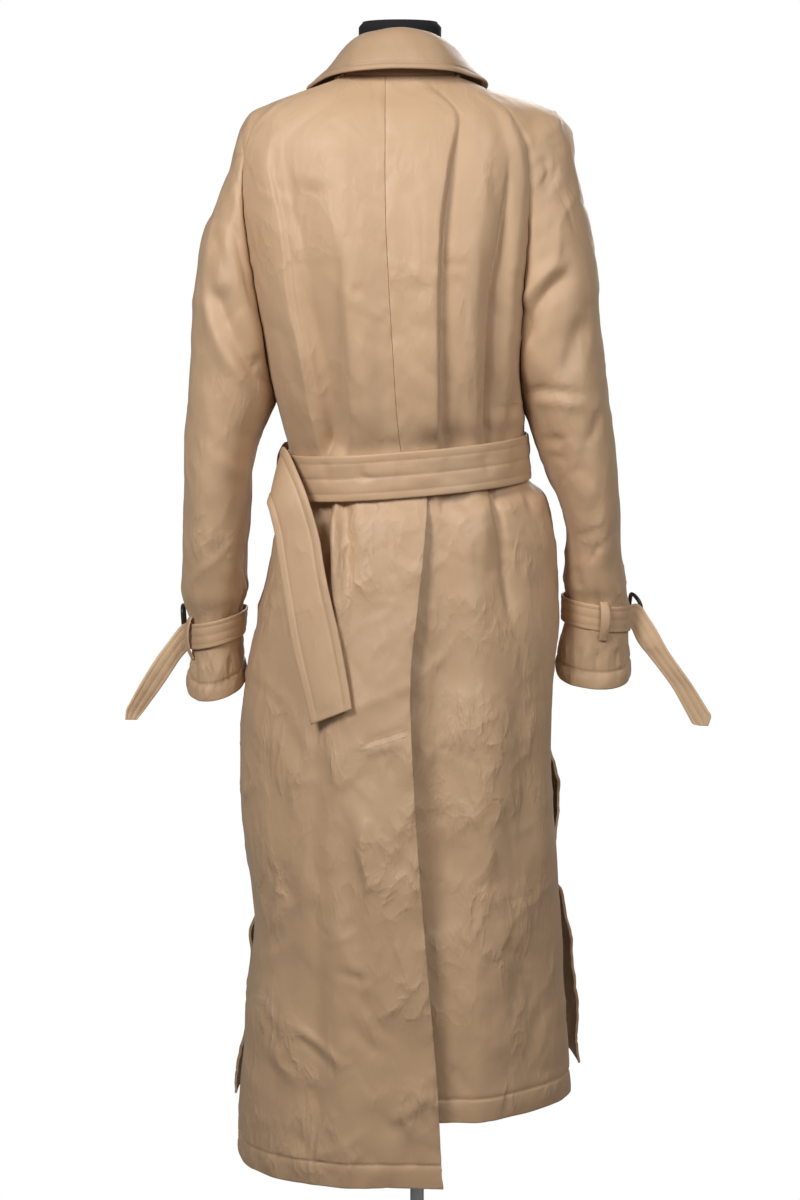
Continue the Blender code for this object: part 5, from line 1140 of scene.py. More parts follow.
def buildBeltKnot():
    angles = np.linspace(knotStyle["from"], knotStyle["to"], knotStyle["columns"])
    ring, flat = levelRing(angles, beltBottomZ + beltWidth / 2)
    outerRows, innerRows = [], []
    for out, rise in columnsOf(knotProfile, "out rise"):
        point = ring + flat * (beltStandOff(angles)[:, None] + out) + up * rise
        away = unit(flat * max(out - 0.001, 0.002) + up * rise * 0.45)
        innerRows.append(point)
        outerRows.append(point + away * wallThickness)
    both = splineRows(np.stack((outerRows, innerRows), 2), 0.0035)
    outer, inner = both[:, :, 0], both[:, :, 1]
    across = np.linspace(0, 1, len(angles))[None, :]
    run = np.linspace(0, 1, len(outer))[:, None]
    bulk = np.sin(math.pi * run)
    pinch = (knotStyle["pinch"] * np.sin(across * 11 + 1.2 * np.sin(run * 5)) * bulk
             + knotStyle["finePinch"] * np.sin(across * 23 + 2) * bulk ** 2)
    outer = outer + flat[None] * pinch[..., None]
    return clothWall("beltKnot", outer, flat[None], back=inner,
                     edges=roundedEdges(0.0020, 0.9, "left right"))


# A hanging belt end between two edges; its stitch row runs round it, a little way in
tailStyle = {"width": 0.048, "stitchIn": 0.0085, "bow": 0.0015, "puff": 0.0008, "groove": 0.0007,
             "lump": 0.0006, "lumpSize": 0.06, "spacing": 0.0040}


def buildTail(name, table, toward):
    width, stitchIn = tailStyle["width"], tailStyle["stitchIn"]
    edges = [columnsOf(table, names) for names in ("lowX lowY lowZ", "topX topY topZ")]
    rows = splineRows(np.stack(edges, 1), tailStyle["spacing"])
    share = steps(width, 0.0030, fine=(stitchIn, width - stitchIn), reach=0.0022)
    grid = mix(rows[:, :1], rows[:, 1:], share[None, :, None])
    normal = gridNormals(grid, toward)
    down = walked(grid, 0)
    fromEnd = down[-1:] - down
    across = share[None, :] * width
    near = np.minimum(np.minimum(across, width - across), fromEnd)
    height = (tailStyle["bow"] * np.sin(math.pi * share)[None, :]
              + stripHeight(share[None, :], width, stitchIn, tailStyle["puff"], 0.0))
    height = height - tailStyle["groove"] * fading(near - stitchIn, stripStyle["edgeGroove"])
    height = height + tailStyle["lump"] * unevenness(grid, 43, tailStyle["lumpSize"], stretch=1.6)
    grid = grid + normal * height[..., None]
    return clothWall(name, grid, toward, roundedEdges(0.0016, 0.9)), grid, normal


strapStyle = {"start": 0.560, "leaves": 0.460, "steps": 20, "width": 0.0295, "wall": 0.0025,
              "gap": 0.0010, "stitchIn": 0.0050, "puff": 0.0003, "groove": 0.0002, "lump": 0.0004,
              "lumpSize": 0.03, "spacing": 0.0034}
loopStyle = {"width": 0.0105, "cuffRound": 0.27, "columns": 9, "spacing": 0.0024, "wall": 0.0015,
             "bulge": 0.0005}
loopTurns = {"left": 0.405, "right": 0.270}
loopReach = rowsOf("row out",
    (7.82, 0.9), (7.91, 3.2), (8, 5), (9, 5), (9.12, 3.2), (9.3, 0.9))


def tubeNormal(side, row, turn):
    last = len(sleeveRows[side]["depth"]) - 1
    down = tubePoint(side, min(row + 0.2, last), turn) - tubePoint(side, max(row - 0.2, 0), turn)
    roundIt = tubePoint(side, row, (turn + 0.01) % 1.0) - tubePoint(side, row, (turn - 0.01) % 1.0)
    normal = unit(np.cross(down, roundIt))
    middle = (tubePoint(side, row, 0.0) + tubePoint(side, row, 0.5)) / 2
    outward = tubePoint(side, row, turn) - middle
    return normal if np.dot(normal, outward) > 0 else -normal


# Lower and upper edge of the strap's inner face, and the outward direction, at a turn
def strapRing(side, turn):
    low, high = tubePoint(side, 9.0, turn), tubePoint(side, 8.0, turn)
    normal = unit(tubeNormal(side, 8.5, turn) * np.array((1, 1, 0)))
    half = unit(high - low) * strapStyle["width"] / 2
    return (low + high) / 2 - half, (low + high) / 2 + half, normal


def buildCuffStrap(side):
    outer, inner = [], []
    start, leaves, count = strapStyle["start"], strapStyle["leaves"], strapStyle["steps"]
    for step in range(count + 1):
        low, high, normal = strapRing(side, (start + (1 - start + leaves) * step / count) % 1.0)
        gap, thick = normal * strapStyle["gap"], normal * (strapStyle["gap"] + strapStyle["wall"])
        inner.append((low + gap, high + gap))
        outer.append((low + thick, high + thick))
    table = strapEnds[side]
    lows, tops = columnsOf(table, "lowX lowY lowZ"), columnsOf(table, "topX topY topZ")
    for index in range(len(lows)):
        before, after = max(index - 1, 0), min(index + 1, len(lows) - 1)
        run = (lows[after] + tops[after] - lows[before] - tops[before]) / 2
        normal = unit(np.cross(run, tops[index] - lows[index]))
        normal = -normal if normal[1] > 0 else normal
        thick = normal * strapStyle["wall"] / 2
        inner.append((lows[index] - thick, tops[index] - thick))
        outer.append((lows[index] + thick, tops[index] + thick))
    both = splineRows(np.stack((outer, inner), 1), strapStyle["spacing"])
    width, stitchIn = strapStyle["width"], strapStyle["stitchIn"]
    share = steps(width, 0.0024, fine=(stitchIn, width / 2, width - stitchIn), reach=0.0016)
    share = share[None, :, None]
    outer = mix(both[:, 0, :1], both[:, 0, 1:], share)
    inner = mix(both[:, 1, :1], both[:, 1, 1:], share)
    away = unit(outer - inner)
    height = stripHeight(share[0, :, 0], width, stitchIn, strapStyle["puff"],
                         strapStyle["groove"], strapStyle["groove"])[None, :]
    height = height + strapStyle["lump"] * unevenness(outer, 47, strapStyle["lumpSize"])
    outer = outer + away * height[..., None]
    strap = clothWall("cuffStrap" + side.capitalize(), outer, away, back=inner,
                      edges=roundedEdges(0.0013, 0.9))
    return strap, outer, away


# The narrow keeper over the strap, sewn to the sleeve above and below it
def buildStrapLoop(side):
    half = 0.5 * loopStyle["width"] / loopStyle["cuffRound"]
    turns = np.linspace(loopTurns[side] - half, loopTurns[side] + half, loopStyle["columns"])
    normals = np.array([strapRing(side, turn)[2] for turn in turns])
    outer, inner = [], []
    for row, out in columnsOf(loopReach, "row out"):
        points = tubePoint(side, row, turns) + normals * out
        inner.append(points)
        outer.append(points + normals * loopStyle["wall"])
    both = splineRows(np.stack((outer, inner), 2), loopStyle["spacing"])
    outer, inner = both[:, :, 0], both[:, :, 1]
    bow = np.sin(math.pi * np.linspace(0, 1, loopStyle["columns"]))[None, :, None]
    away = unit(outer - inner)
    outer = outer + away * (loopStyle["bulge"] * bow)
    return clothWall("strapLoop" + side.capitalize(), outer, away, back=inner,
                     edges=roundedEdges(0.0008, 0.8))


buckleStyle = {"across": 0.0420, "along": 0.0220, "round": 0.0090, "bar": 0.0024, "flat": 0.92,
               "arcSteps": 10, "sides": 16}
bucklePlace = {
    "left": {"middle": (-0.2668, 0.0242, 0.7975), "run": (0.0, -1.0, 0.0),
             "across": (-0.06, 0.0, 1.0)},
    "right": {"middle": (0.2490, 0.0288, 0.8140), "run": (0.50, -0.62, -0.60),
              "across": (0.0, -0.69, 0.72)},
}


# A rounded frame at the strap's start, a little flattened across its bars
def buildBuckle(side):
    place = {name: np.array(value) for name, value in bucklePlace[side].items()}
    run = unit(place["run"])
    across = unit(place["across"] - run * np.dot(place["across"], run))
    rise = np.cross(run, across)
    path, corner, bar = [], buckleStyle["round"], buckleStyle["bar"]
    for u, v, begin in ((1, 1, 0), (-1, 1, 90), (-1, -1, 180), (1, -1, 270)):
        for step in range(buckleStyle["arcSteps"] + 1):
            turn = math.radians(begin + 90 * step / buckleStyle["arcSteps"])
            path.append((u * (buckleStyle["across"] / 2 - corner) + corner * math.cos(turn),
                         v * (buckleStyle["along"] / 2 - corner) + corner * math.sin(turn)))
    path = np.array(path)
    tangent = unit(np.roll(path, -1, axis=0) - np.roll(path, 1, axis=0))
    outward = across * tangent[:, 1:] - run * tangent[:, :1]
    turns = np.linspace(0, 2 * math.pi, buckleStyle["sides"], endpoint=False)
    points = ((place["middle"] + across * path[:, :1] + run * path[:, 1:])[:, None]
              + outward[:, None] * (np.cos(turns) * bar)[None, :, None]
              + (rise * bar * buckleStyle["flat"]) * np.sin(turns)[None, :, None])
    index = np.arange(points.shape[0] * points.shape[1]).reshape(points.shape[:2])
    beside = np.roll(index, -1, 1)
    faces = np.stack((index, beside, np.roll(beside, -1, 0), np.roll(index, -1, 0)), -1)
    return meshPiece("buckle" + side.capitalize(), points.reshape(-1, 3), faces.reshape(-1, 4))


# The form under the coat
formStyle = {"low": 0.7, "shoulder": 1.40, "neck": 1.405, "neckTop": 1.462,
             "rim": (1.4645, 1.4665, 1.4677, 1.4680), "sides": 96, "shrink": 0.995}


def buildForm():
    z = np.concatenate((np.linspace(formStyle["low"], formStyle["shoulder"], 90),
                        np.linspace(formStyle["neck"], formStyle["neckTop"], 20), formStyle["rim"]))
    turn = np.linspace(0, 2 * math.pi, formStyle["sides"], endpoint=False)
    half, back, front = (along(formSizes, name, z)[:, None] * formStyle["shrink"]
                         for name in ("half", "back", "front"))
    depth = np.where(np.sin(turn)[None, :] > 0, back, front)
    grid = np.stack((bodyX + half * np.cos(turn), -depth * np.sin(turn), z[:, None] + 0 * turn), -1)
    caps = []
    for row, shares in ((grid[0], np.linspace(0.05, 0.97, 10)),
                        (grid[-1], np.linspace(0.97, 0.05, 8))):
        middle = np.array((bodyX, 0, row[0, 2]))
        caps.append(np.array([mix(middle, row, share) for share in shares]))
    grid = np.concatenate((caps[0], grid, caps[1]))
    rows, sides = grid.shape[:2]
    index = np.arange(rows * sides).reshape(rows, sides)
    around = np.roll(index, -1, 1)
    faces = np.stack((index[:-1], around[:-1], around[1:], index[1:]), -1).reshape(-1, 4).tolist()
    faces += [index[0][::-1].tolist(), index[-1].tolist()]
    mesh = bpy.data.meshes.new("formTorso")
    mesh.from_pydata(grid.reshape(-1, 3).tolist(), [], faces)
    mesh.update()
    mesh.shade_smooth()
    return newObject("formTorso", mesh)


# A node group with sockets given as (name, kind) or (name, kind, value)
def newGroup(name, inputs, outputs, kind="ShaderNodeTree"):
    tree = bpy.data.node_groups.new(name, kind)
    for way, sockets in (("INPUT", inputs), ("OUTPUT", outputs)):
        for label, socketKind, *value in sockets:
            socket = tree.interface.new_socket(name=label, in_out=way,
                                               socket_type="NodeSocket" + socketKind)
            if value:
                socket.default_value = value[0]
    given, result = tree.nodes.new("NodeGroupInput"), tree.nodes.new("NodeGroupOutput")
    return tree, given.outputs, result.inputs


# Links a socket to another node's output, or sets its value
def feed(tree, socket, value):
    if isinstance(value, bpy.types.NodeSocket):
        tree.links.new(value, socket)
    else:
        socket.default_value = value


# A node: `given` goes to its first sockets, and each setting to the socket or setting so named
def addNode(tree, kind, *given, **settings):
    node = tree.nodes.new(kind)
    for name, value in settings.items():
        if name in node.inputs:
            feed(tree, node.inputs[name], value)
        else:
            setattr(node, name, value)
    for socket, value in zip(node.inputs, given):
        feed(tree, socket, value)
    return node


def mathNode(tree, operation, *values):
    return addNode(tree, "ShaderNodeMath", *values, operation=operation).outputs[0]


# From `first` to `last` as the value goes from `begin` to `end`
def easedRange(tree, value, begin, end, first=0.0, last=1.0):
    return addNode(tree, "ShaderNodeMapRange", value, begin, end, first, last,
                   interpolation_type="SMOOTHSTEP").outputs[0]


def blended(tree, share, first, second):
    node = addNode(tree, "ShaderNodeMix", share, data_type="RGBA")
    feed(tree, node.inputs[6], first)
    feed(tree, node.inputs[7], second)
    return node.outputs[2]


def newMaterial(name):
    material = bpy.data.materials.new(name)
    material.use_nodes = True
    tree = material.node_tree
    return material, tree, tree.nodes["Principled BSDF"].inputs


def shaded(colour, strength):
    return (*[c * strength for c in colour], 1.0)


# A dense twill: fine slanting ribs, a slub that makes some of them thicker
def twillGroup():
    tree, given, result = newGroup(
        "twillWeave",
        (("Vector", "Vector"), ("Ribs Per Metre", "Float", 1300.0), ("Slub", "Float", 0.35)),
        (("Height", "Float"), ("Tone", "Float")))
    split = addNode(tree, "ShaderNodeSeparateXYZ", given["Vector"]).outputs
    slant = mathNode(tree, "ADD", split["X"], mathNode(tree, "MULTIPLY", split["Y"], 1.6))
    turns = mathNode(tree, "MULTIPLY", mathNode(tree, "MULTIPLY", slant, given["Ribs Per Metre"]),
                     2 * math.pi)
    ribs = mathNode(tree, "MULTIPLY_ADD", mathNode(tree, "SINE", turns), 0.5, 0.5)
    stretched = addNode(tree, "ShaderNodeMapping", given["Vector"], Scale=(900.0, 60.0, 1.0))
    slub = addNode(tree, "ShaderNodeTexNoise", stretched.outputs[0], Scale=1.0, Detail=2.0)
    uneven = mathNode(tree, "MULTIPLY", slub.outputs[0], given["Slub"])
    feed(tree, result["Height"], mathNode(tree, "ADD", ribs, uneven))
    feed(tree, result["Tone"], mathNode(tree, "ADD", mathNode(tree, "MULTIPLY", ribs, 0.5), uneven))
    return tree


# Small sharp creases of worn cotton: ridged noise in patches, over soft dents
def rumpleGroup():
    tree, given, result = newGroup(
        "softRumple",
        (("Vector", "Vector"), ("Size", "Float", 14.0), ("Sharpness", "Float", 0.5)),
        (("Height", "Float"), ("Tone", "Float")))
    sized = addNode(tree, "ShaderNodeVectorMath", given["Vector"], operation="SCALE",
                    Scale=given["Size"]).outputs[0]
    lying = addNode(tree, "ShaderNodeMapping", sized, Scale=(1.0, 1.0, 0.50),
                    Rotation=(0.0, 0.35, 0.0)).outputs[0]
    ridges = addNode(tree, "ShaderNodeTexNoise", lying, noise_type="RIDGED_MULTIFRACTAL", Scale=1.0,
                     Detail=3.0, Roughness=0.5, Lacunarity=2.2, Offset=0.85, Gain=2.0,
                     Distortion=0.25).outputs[0]
    patches = addNode(tree, "ShaderNodeTexNoise", sized, Scale=0.45, Detail=1.0).outputs[0]
    bends = addNode(tree, "ShaderNodeTexNoise", lying, Scale=0.9, Detail=2.0, Roughness=0.45,
                    Distortion=0.8).outputs[0]
    shown = mathNode(tree, "MULTIPLY", ridges, easedRange(tree, patches, 0.38, 0.66))
    sharp = mathNode(tree, "MULTIPLY", shown, given["Sharpness"])
    feed(tree, result["Height"], mathNode(tree, "ADD", bends, sharp))
    feed(tree, result["Tone"], bends)
    return tree


# one colour here is a painted highlight: the paler tone painted on the straps' free ends
cottonFinish = {"light": (0.550, 0.368, 0.224), "dark": (0.480, 0.308, 0.180),
                "paintedHighlight": (0.690, 0.475, 0.300, 1.0), "ribs": 1300.0, "rumple": 24.0,
                "wornBelow": (0.80, 1.02), "roughness": 0.48, "sheen": 0.22}


def cottonMaterial(name="camelCotton", rumple=1.0, shade=1.0, weave=1.0, highlightFrom=None):
    material, tree, shader = newMaterial(name)
    shader["Specular IOR Level"].default_value = 0.50
    shader["Sheen Weight"].default_value = cottonFinish["sheen"]
    shader["Sheen Roughness"].default_value = 0.45
    shader["Sheen Tint"].default_value = (1.0, 0.90, 0.78, 1.0)
    cloth = addNode(tree, "ShaderNodeUVMap", uv_map="cloth").outputs[0]
    place = addNode(tree, "ShaderNodeTexCoord").outputs["Object"]
    split = addNode(tree, "ShaderNodeSeparateXYZ", place).outputs
    woven = addNode(tree, "ShaderNodeGroup", cloth, cottonFinish["ribs"], node_tree=twill).outputs
    worn = easedRange(tree, split["Z"], *cottonFinish["wornBelow"], 1.0, 0.40)
    soft = addNode(tree, "ShaderNodeGroup", place, cottonFinish["rumple"], worn,
                   node_tree=rumpleTree).outputs
    cloud = addNode(tree, "ShaderNodeTexNoise", place, Scale=7.0, Detail=3.0, Roughness=0.55)
    share = mathNode(tree, "ADD", mathNode(tree, "MULTIPLY", woven["Tone"], 0.35 * weave),
                     mathNode(tree, "MULTIPLY", cloud.outputs[0], 0.9))
    tone = blended(tree, share, *(shaded(cottonFinish[name], shade) for name in ("dark", "light")))
    if highlightFrom:
        # painted highlight: past a set distance out from the middle, the strap's free end is
        # painted paler, standing in for light on the same cotton
        outward = mathNode(tree, "ABSOLUTE", split["X"])
        highlightShare = easedRange(tree, outward, highlightFrom, highlightFrom + 0.014)
        tone = blended(tree, highlightShare, tone, cottonFinish["paintedHighlight"])
    feed(tree, shader["Base Color"], tone)
    feed(tree, shader["Roughness"],
         mathNode(tree, "MULTIPLY_ADD", soft["Tone"], 0.16, cottonFinish["roughness"] - 0.08))
    dents = addNode(tree, "ShaderNodeBump", Strength=0.80 * rumple, Distance=0.0042,
                    Height=soft["Height"]).outputs[0]
    ribs = addNode(tree, "ShaderNodeBump", Strength=0.30 * weave, Distance=0.00012,
                   Height=woven["Height"], Normal=dents).outputs[0]
    feed(tree, shader["Normal"], ribs)
    return material


def plainMaterial(name, colour, roughness, metallic=0.0, grain=120.0, bump=0.0002, spread=0.25):
    material, tree, shader = newMaterial(name)
    shader["Metallic"].default_value = metallic
    place = addNode(tree, "ShaderNodeTexCoord").outputs["Object"]
    noise = addNode(tree, "ShaderNodeTexNoise", place, Scale=grain, Detail=3.0).outputs[0]
    feed(tree, shader["Base Color"],
         blended(tree, noise, shaded(colour, 1 - spread), shaded(colour, 1 + spread)))
    feed(tree, shader["Roughness"], mathNode(tree, "MULTIPLY_ADD", noise, 0.2, roughness - 0.1))
    fine = addNode(tree, "ShaderNodeBump", Strength=0.4, Distance=bump, Height=noise)
    feed(tree, shader["Normal"], fine.outputs[0])
    return material


twill, rumpleTree = twillGroup(), rumpleGroup()
cotton = cottonMaterial()
flatCotton = cottonMaterial("camelCottonFlat", rumple=0.35)
# the straps' free ends carry a painted highlight, from these distances out from the middle
strapCottons = {side: cottonMaterial("camelCotton" + side.capitalize() + "Strap", rumple=0.30,
                                     weave=0.3, highlightFrom=begin)
                for side, begin in (("left", 0.262), ("right", 0.246))}
# painted shade: the collar's stand and leaf are the same cotton, painted darker to stand in for the
# shade on them
collarShadedCotton = cottonMaterial("camelCottonCollarPaintedShade", rumple=0.40, shade=0.85)
horn = plainMaterial("darkHorn", (0.030, 0.021, 0.016), 0.34, grain=60.0, spread=0.5)
jersey = plainMaterial("blackJersey", (0.0045, 0.0045, 0.0050), 0.92, grain=900.0, bump=0.0003)
steel = plainMaterial("greySteel", (0.50, 0.52, 0.56), 0.42, metallic=0.25, grain=260.0,
                      spread=0.08)
print("finishes ready")

grids = {panel: panelGrid(panel) for panel in bodyPanels}
print("body panels drawn")


def seamPoints(panel):
    return grids[panel]["points"][-len(neckShares):, -1][::-1]


freeEdge, sewnEdge = (0.0017, 0.92), (0.0006, 0.10)
clothPieces = {}
for panel, made in grids.items():
    points = trimmed(made["points"])
    # the skirt's middle edge and the hem are free, the rest is sewn
    edges = {"low": freeEdge, "left": freeEdge if "front" in panel else sewnEdge, "right": sewnEdge}
    clothPieces[panel] = clothWall(panel, points, made["normal"], edges)
neckParts = {}
for side in ("left", "right"):
    name = side.capitalize()
    grid = sleeveGrid(side, seamPoints("back" + name), seamPoints("front" + name))
    neckParts[side] = grid[0]
    half = grid.shape[1] // 2
    for face, part in (("Back", grid[:, :half + 1]), ("Front", grid[:, :half - 1:-1])):
        piece = "sleeve" + name + face
        centre = (part[:, :1] + part[:, -1:]) / 2
        away = part - centre + np.array((0, -0.02 if face == "Back" else 0.02, 0))
        edges = {"high": freeEdge, "left": sewnEdge, "right": sewnEdge}
        clothPieces[piece] = clothWall(piece, trimmed(part, first=True), away, edges)
    grids["sleeve" + name] = {"points": grid, "normal": grid - grid.mean(1, keepdims=True)}
print("sleeves drawn")


# The neck edge of a panel, from one of its lines on
def neckEdge(panel, line=None):
    start = columnOf(panel, line) + 1 if line else 0
    return grids[panel]["points"][-1][int(np.searchsorted(grids[panel]["columns"], start)):]


neck = np.concatenate((neckEdge("frontLeft", "frontMiddle"), neckParts["left"][-2:0:-1],
                       neckEdge("backLeft")[::-1], neckEdge("backRight")[1:],
                       neckParts["right"][1:-1], neckEdge("frontRight", "lapMiddle")[::-1]))
walk = np.concatenate(([0], np.cumsum(np.linalg.norm(np.diff(neck, axis=0), axis=-1))))
even = np.linspace(0, walk[-1], 120)
neck = np.stack([np.interp(even, walk, neck[:, i]) for i in range(3)], -1)
neckOut = unit((neck - np.array((bodyX, 0, 0))) * np.array((1, 1, 0)) + up * 0.06)
clothPieces["collarStand"] = buildCollarStand(neck, neckOut)
clothPieces["collarLeaf"], leafGrid, leafNormal = buildCollarLeaf()
clothPieces["belt"], beltGrid, beltNormal = buildBelt()
clothPieces["beltKnot"] = buildBeltKnot()
tails = {}
for name, table, toward in (("beltTailBack", backTail, (-0.7, -1, 0)),
                            ("beltTailFront", frontTail, (-1, 0.7, 0))):
    clothPieces[name], *tails[name] = buildTail(name, table, np.array(toward))
straps = {}
for side in ("left", "right"):
    name = side.capitalize()
    clothPieces["cuffStrap" + name], *straps[side] = buildCuffStrap(side)
    clothPieces["strapLoop" + name] = buildStrapLoop(side)
print("collar, belt and straps drawn")

buckles = {side: buildBuckle(side) for side in ("left", "right")}
form = buildForm()


def faceOf(panel):
    return grids[panel]["points"], grids[panel]["normal"]


# Lines of stitches: a line of places at a distance from one edge of a grid, lifted off its face
def insetLine(grid, toward, distance, edge, start=0.0, end=1.0, lift=0.0001):
    normal = gridNormals(grid, toward)
    if edge in ("left", "right"):
        grid, normal = grid.swapaxes(0, 1), normal.swapaxes(0, 1)
    if edge in ("high", "right"):
        grid, normal = grid[::-1], normal[::-1]
    away = walked(grid, 0)
    line = np.array([[np.interp(distance, away[:, column], both[:, column, axis])
                      for both in (grid, normal) for axis in range(3)]
                     for column in range(grid.shape[1])])
    first, last = int(start * (len(line) - 1)), int(end * (len(line) - 1)) + 1
    return (line[:, :3] + unit(line[:, 3:]) * lift)[first:last]


# Places on the back of a piece under a straight line between two points (x, z)
def drawnLine(piece, begin, finish, count=24, lift=0.0003):
    tree = BVHTree.FromObject(piece, bpy.context.evaluated_depsgraph_get())
    line = []
    for share in np.linspace(0, 1, count):
        x, z = mix(begin[0], finish[0], share), mix(begin[1], finish[1], share)
        place, normal, _, _ = tree.ray_cast(Vector((x, -1.0, z)), Vector((0, 1, 0)))
        if place is not None:
            line.append(place + normal * lift)
    return np.array([tuple(place) for place in line])


stitchStyle = {"spacing": 0.0033, "length": 0.0025, "thickness": 0.00055, "jitter": 0.14, "seed": 7}


# Threads lying end to end along a line, each a little longer or shorter than the next
def stitchNodes(material):
    tree, given, result = newGroup(
        "threadStitches",
        (("Geometry", "Geometry"), ("Spacing", "Float"), ("Length", "Float"),
         ("Thickness", "Float"), ("Jitter", "Float"), ("Seed", "Int")),
        (("Geometry", "Geometry"),), "GeometryNodeTree")
    curve = addNode(tree, "GeometryNodeMeshToCurve", given["Geometry"])
    places = addNode(tree, "GeometryNodeCurveToPoints", curve.outputs[0], mode="LENGTH",
                     Length=given["Spacing"]).outputs
    thread = addNode(tree, "GeometryNodeMeshUVSphere", Segments=6, Rings=4, Radius=0.5)
    uneven = addNode(tree, "FunctionNodeRandomValue", data_type="FLOAT", Seed=given["Seed"])
    feed(tree, uneven.inputs[2], mathNode(tree, "SUBTRACT", 1.0, given["Jitter"]))
    feed(tree, uneven.inputs[3], mathNode(tree, "ADD", 1.0, given["Jitter"]))
    longer = mathNode(tree, "MULTIPLY", uneven.outputs[1], given["Length"])
    size = addNode(tree, "ShaderNodeCombineXYZ", given["Thickness"], given["Thickness"], longer)
    put = addNode(tree, "GeometryNodeInstanceOnPoints", Points=places["Points"],
                  Instance=thread.outputs["Mesh"], Rotation=places["Rotation"],
                  Scale=size.outputs[0])
    real = addNode(tree, "GeometryNodeRealizeInstances", put.outputs[0])
    paint = addNode(tree, "GeometryNodeSetMaterial", real.outputs[0], Material=material)
    feed(tree, result["Geometry"], paint.outputs[0])
    return tree


def buildStitches(name, lines):
    mesh = bpy.data.meshes.new(name + "Lines")
    points, edges = [], []
    for line in lines:
        edges += [(len(points) + i, len(points) + i + 1) for i in range(len(line) - 1)]
        points += [tuple(place) for place in line]
    mesh.from_pydata(points, edges, [])
    guide = newObject(name + "Lines", mesh)
    modifier = guide.modifiers.new("stitches", "NODES")
    modifier.node_group = stitchTree
    for socket in stitchTree.interface.items_tree:
        if socket.in_out == "INPUT" and socket.name != "Geometry":
            modifier[socket.identifier] = stitchStyle[socket.name.lower()]
    made = guide.evaluated_get(bpy.context.evaluated_depsgraph_get())
    sewn = bpy.data.meshes.new_from_object(made)
    guide.modifiers.remove(modifier)
    bpy.data.objects.remove(guide)
    sewn.shade_smooth()
    return newObject(name, sewn)


thread = plainMaterial("camelThread", (0.470, 0.310, 0.185), 0.55, grain=1500.0, bump=0.00005,
                       spread=0.12)
stitchTree = stitchNodes(thread)
stitchLines = {"coatStitches": [], "beltStitches": [], "cuffStitches": [], "collarStitches": []}
# Each row's edge and its distance from it
stitchRows = {
    "hem": (("low", bodyStyle["hemDepth"]),),
    "front": (("left", 0.0060), ("left", 0.0480)),
    "cuff": (("high", sleeveStyle["hemDepth"]),),
    "strap": (("left", 0.0040), ("left", 0.0147), ("right", 0.0040)),
    "collar": (("high", 0.0075), ("high", 0.0098)),
    "belt": (("low", 0.0085), ("low", 0.0250), ("high", 0.0085)),
    "tail": (("left", 0.0075), ("right", 0.0075)),
}
backMark = ((-0.062, 0.694), (-0.012, 0.712))


def sew(name, rows, grid, toward, start=0.0, end=1.0):
    for edge, distance in stitchRows[rows]:
        stitchLines[name].append(insetLine(grid, toward, distance, edge, start, end))


for panel in bodyPanels:
    sew("coatStitches", "hem", *faceOf(panel))
for panel in ("frontLeft", "frontRight"):
    sew("coatStitches", "front", *faceOf(panel), 0.01, 0.93)
for drop in (0.0, 0.007):
    begin, finish = ((x, z - drop) for x, z in backMark)
    stitchLines["coatStitches"].append(drawnLine(clothPieces["backLeft"], begin, finish))
for side in ("left", "right"):
    sew("cuffStitches", "cuff", *faceOf("sleeve" + side.capitalize()))
    sew("cuffStitches", "strap", *straps[side], end=0.58)
sew("collarStitches", "collar", leafGrid, leafNormal)
sew("beltStitches", "belt", beltGrid, beltNormal)
for tail in tails.values():
    sew("beltStitches", "tail", *tail)
stitches = {name: buildStitches(name, lines) for name, lines in stitchLines.items()}
for name, piece in stitches.items():
    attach(piece, "root")
print("stitches", {name: len(piece.data.polygons) for name, piece in stitches.items()})


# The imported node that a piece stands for: words joined by underscores
def nodeName(name):
    return "".join("_" + letter.lower() if letter.isupper() else letter for letter in name)


finishes = {"collar": collarShadedCotton, "cuffStrapLeft": strapCottons["left"],
            "cuffStrapRight": strapCottons["right"], "back": cotton, "front": cotton,
            "sleeve": cotton, "belt": flatCotton, "strapLoop": flatCotton}
for name, piece in clothPieces.items():
    piece.data.materials.append(next(finish for start, finish in finishes.items()
                                     if name.startswith(start)))
    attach(piece, "root")
    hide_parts(nodeName(name))
for side, piece in buckles.items():
    piece.data.materials.append(horn)
    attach(piece, "root")
    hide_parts("buckle_" + side)
form.data.materials.append(jersey)
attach(form, "root")
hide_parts("form_torso")
for node in ("stand_pole", "stand_foot"):
    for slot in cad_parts[node].material_slots:
        slot.material = steel
print("pieces", {name: round(sum(p.area for p in piece.data.polygons) / 2, 4)
                 for name, piece in clothPieces.items()})
print("triangles", sum(2 * len(piece.data.polygons) for piece in clothPieces.values()))


def softLight(name, place, target, size, power, spread):
    data = bpy.data.lights.new(name, "AREA")
    data.shape, data.size, data.energy, data.spread = "DISK", size, power, math.radians(spread)
    lamp = newObject(name, data)
    lamp.location = place
    lamp.rotation_euler = (Vector(target) - Vector(place)).to_track_quat("-Z", "Y").to_euler()


# The first shader for all rays but the camera's, which see the second
def seenAs(tree, lit, seen):
    path = addNode(tree, "ShaderNodeLightPath")
    return addNode(tree, "ShaderNodeMixShader", path.outputs["Is Camera Ray"], lit, seen).outputs[0]


floorStyle = {"rings": 40, "sides": 96, "inner": 0.2, "outer": 7.0, "z": -0.0005,
              "colour": (0.20, 0.18, 0.16, 1), "fadeFrom": 0.5, "fadeTo": 2.2}


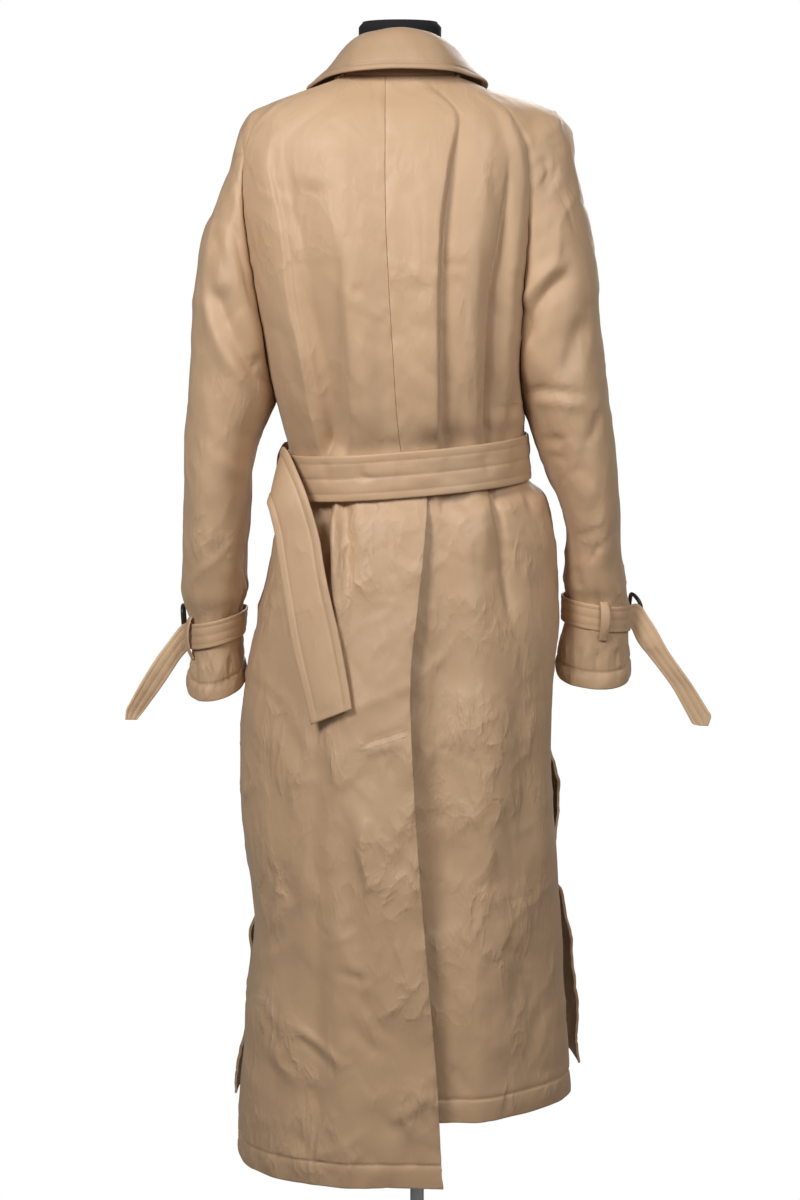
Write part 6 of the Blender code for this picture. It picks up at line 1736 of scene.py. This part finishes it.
def buildFloor():
    sides, z = floorStyle["sides"], floorStyle["z"]
    turns = np.linspace(0, 2 * math.pi, sides, endpoint=False)
    points = [(0.0, 0.0, z)]
    faces = [(0, 1 + i, 1 + (i + 1) % sides) for i in range(sides)]
    radii = np.geomspace(floorStyle["inner"], floorStyle["outer"], floorStyle["rings"])
    for ring, radius in enumerate(radii):
        points += [(radius * math.cos(t), radius * math.sin(t), z) for t in turns]
        if ring:
            low, high = 1 + (ring - 1) * sides, 1 + ring * sides
            faces += [(low + i, high + i, high + (i + 1) % sides, low + (i + 1) % sides)
                      for i in range(sides)]
    mesh = bpy.data.meshes.new("paleFloor")
    mesh.from_pydata(points, [], faces)
    floor = newObject("paleFloor", mesh)
    material, tree, shader = newMaterial("paleFloor")
    shader["Base Color"].default_value = floorStyle["colour"]
    shader["Roughness"].default_value = 0.9
    shader["Specular IOR Level"].default_value = 0.0
    place = addNode(tree, "ShaderNodeTexCoord").outputs["Object"]
    away = addNode(tree, "ShaderNodeVectorMath", place, operation="LENGTH").outputs["Value"]
    feed(tree, shader["Alpha"],
         easedRange(tree, away, floorStyle["fadeFrom"], floorStyle["fadeTo"], 1.0, 0.0))
    white = addNode(tree, "ShaderNodeEmission", Color=(1, 1, 1, 1), Strength=1.0)
    both = seenAs(tree, tree.nodes["Principled BSDF"].outputs[0], white.outputs[0])
    feed(tree, tree.nodes["Material Output"].inputs["Surface"], both)
    mesh.materials.append(material)


def buildWorld():
    scene = bpy.context.scene
    world = scene.world or bpy.data.worlds.new("paleRoom")
    scene.world = world
    world.use_nodes = True
    tree = world.node_tree
    tree.nodes.clear()
    seen = addNode(tree, "ShaderNodeBackground", Color=(1, 1, 1, 1), Strength=1.0)
    lit = addNode(tree, "ShaderNodeBackground", Color=(1, 0.93, 0.85, 1), Strength=0.15)
    addNode(tree, "ShaderNodeOutputWorld", seenAs(tree, lit.outputs[0], seen.outputs[0]))


lamps = {
    "keyLeft": {"place": (-1.30, -1.80, 2.45), "target": (0, 0, 1.35), "size": 0.9, "power": 36,
                "spread": 150.0},
    "fillRight": {"place": (1.15, -1.95, 2.25), "target": (0.10, 0, 1.20), "size": 1.2, "power": 18,
                  "spread": 140.0},
    "frontSoft": {"place": (0.70, 2.40, 1.90), "target": (0, 0, 1.00), "size": 1.4, "power": 20,
                  "spread": 140.0},
}
cameraStyle = {"place": (-0.02, -2.8, 1.247), "pitch": 81.5, "lens": 75.0, "sensor": 36.0,
               "near": 0.05}

buildWorld()
buildFloor()
for name, lamp in lamps.items():
    softLight(name, **lamp)
cameraData = bpy.data.cameras.new("camera")
cameraData.sensor_fit, cameraData.sensor_height = "VERTICAL", cameraStyle["sensor"]
cameraData.lens, cameraData.clip_start = cameraStyle["lens"], cameraStyle["near"]
camera = newObject("camera", cameraData)
camera.location = cameraStyle["place"]
camera.rotation_euler = (math.radians(cameraStyle["pitch"]), 0, 0)
bpy.context.scene.camera = camera
bpy.context.scene.view_settings.view_transform = "Standard"
print("floor, light and camera set")
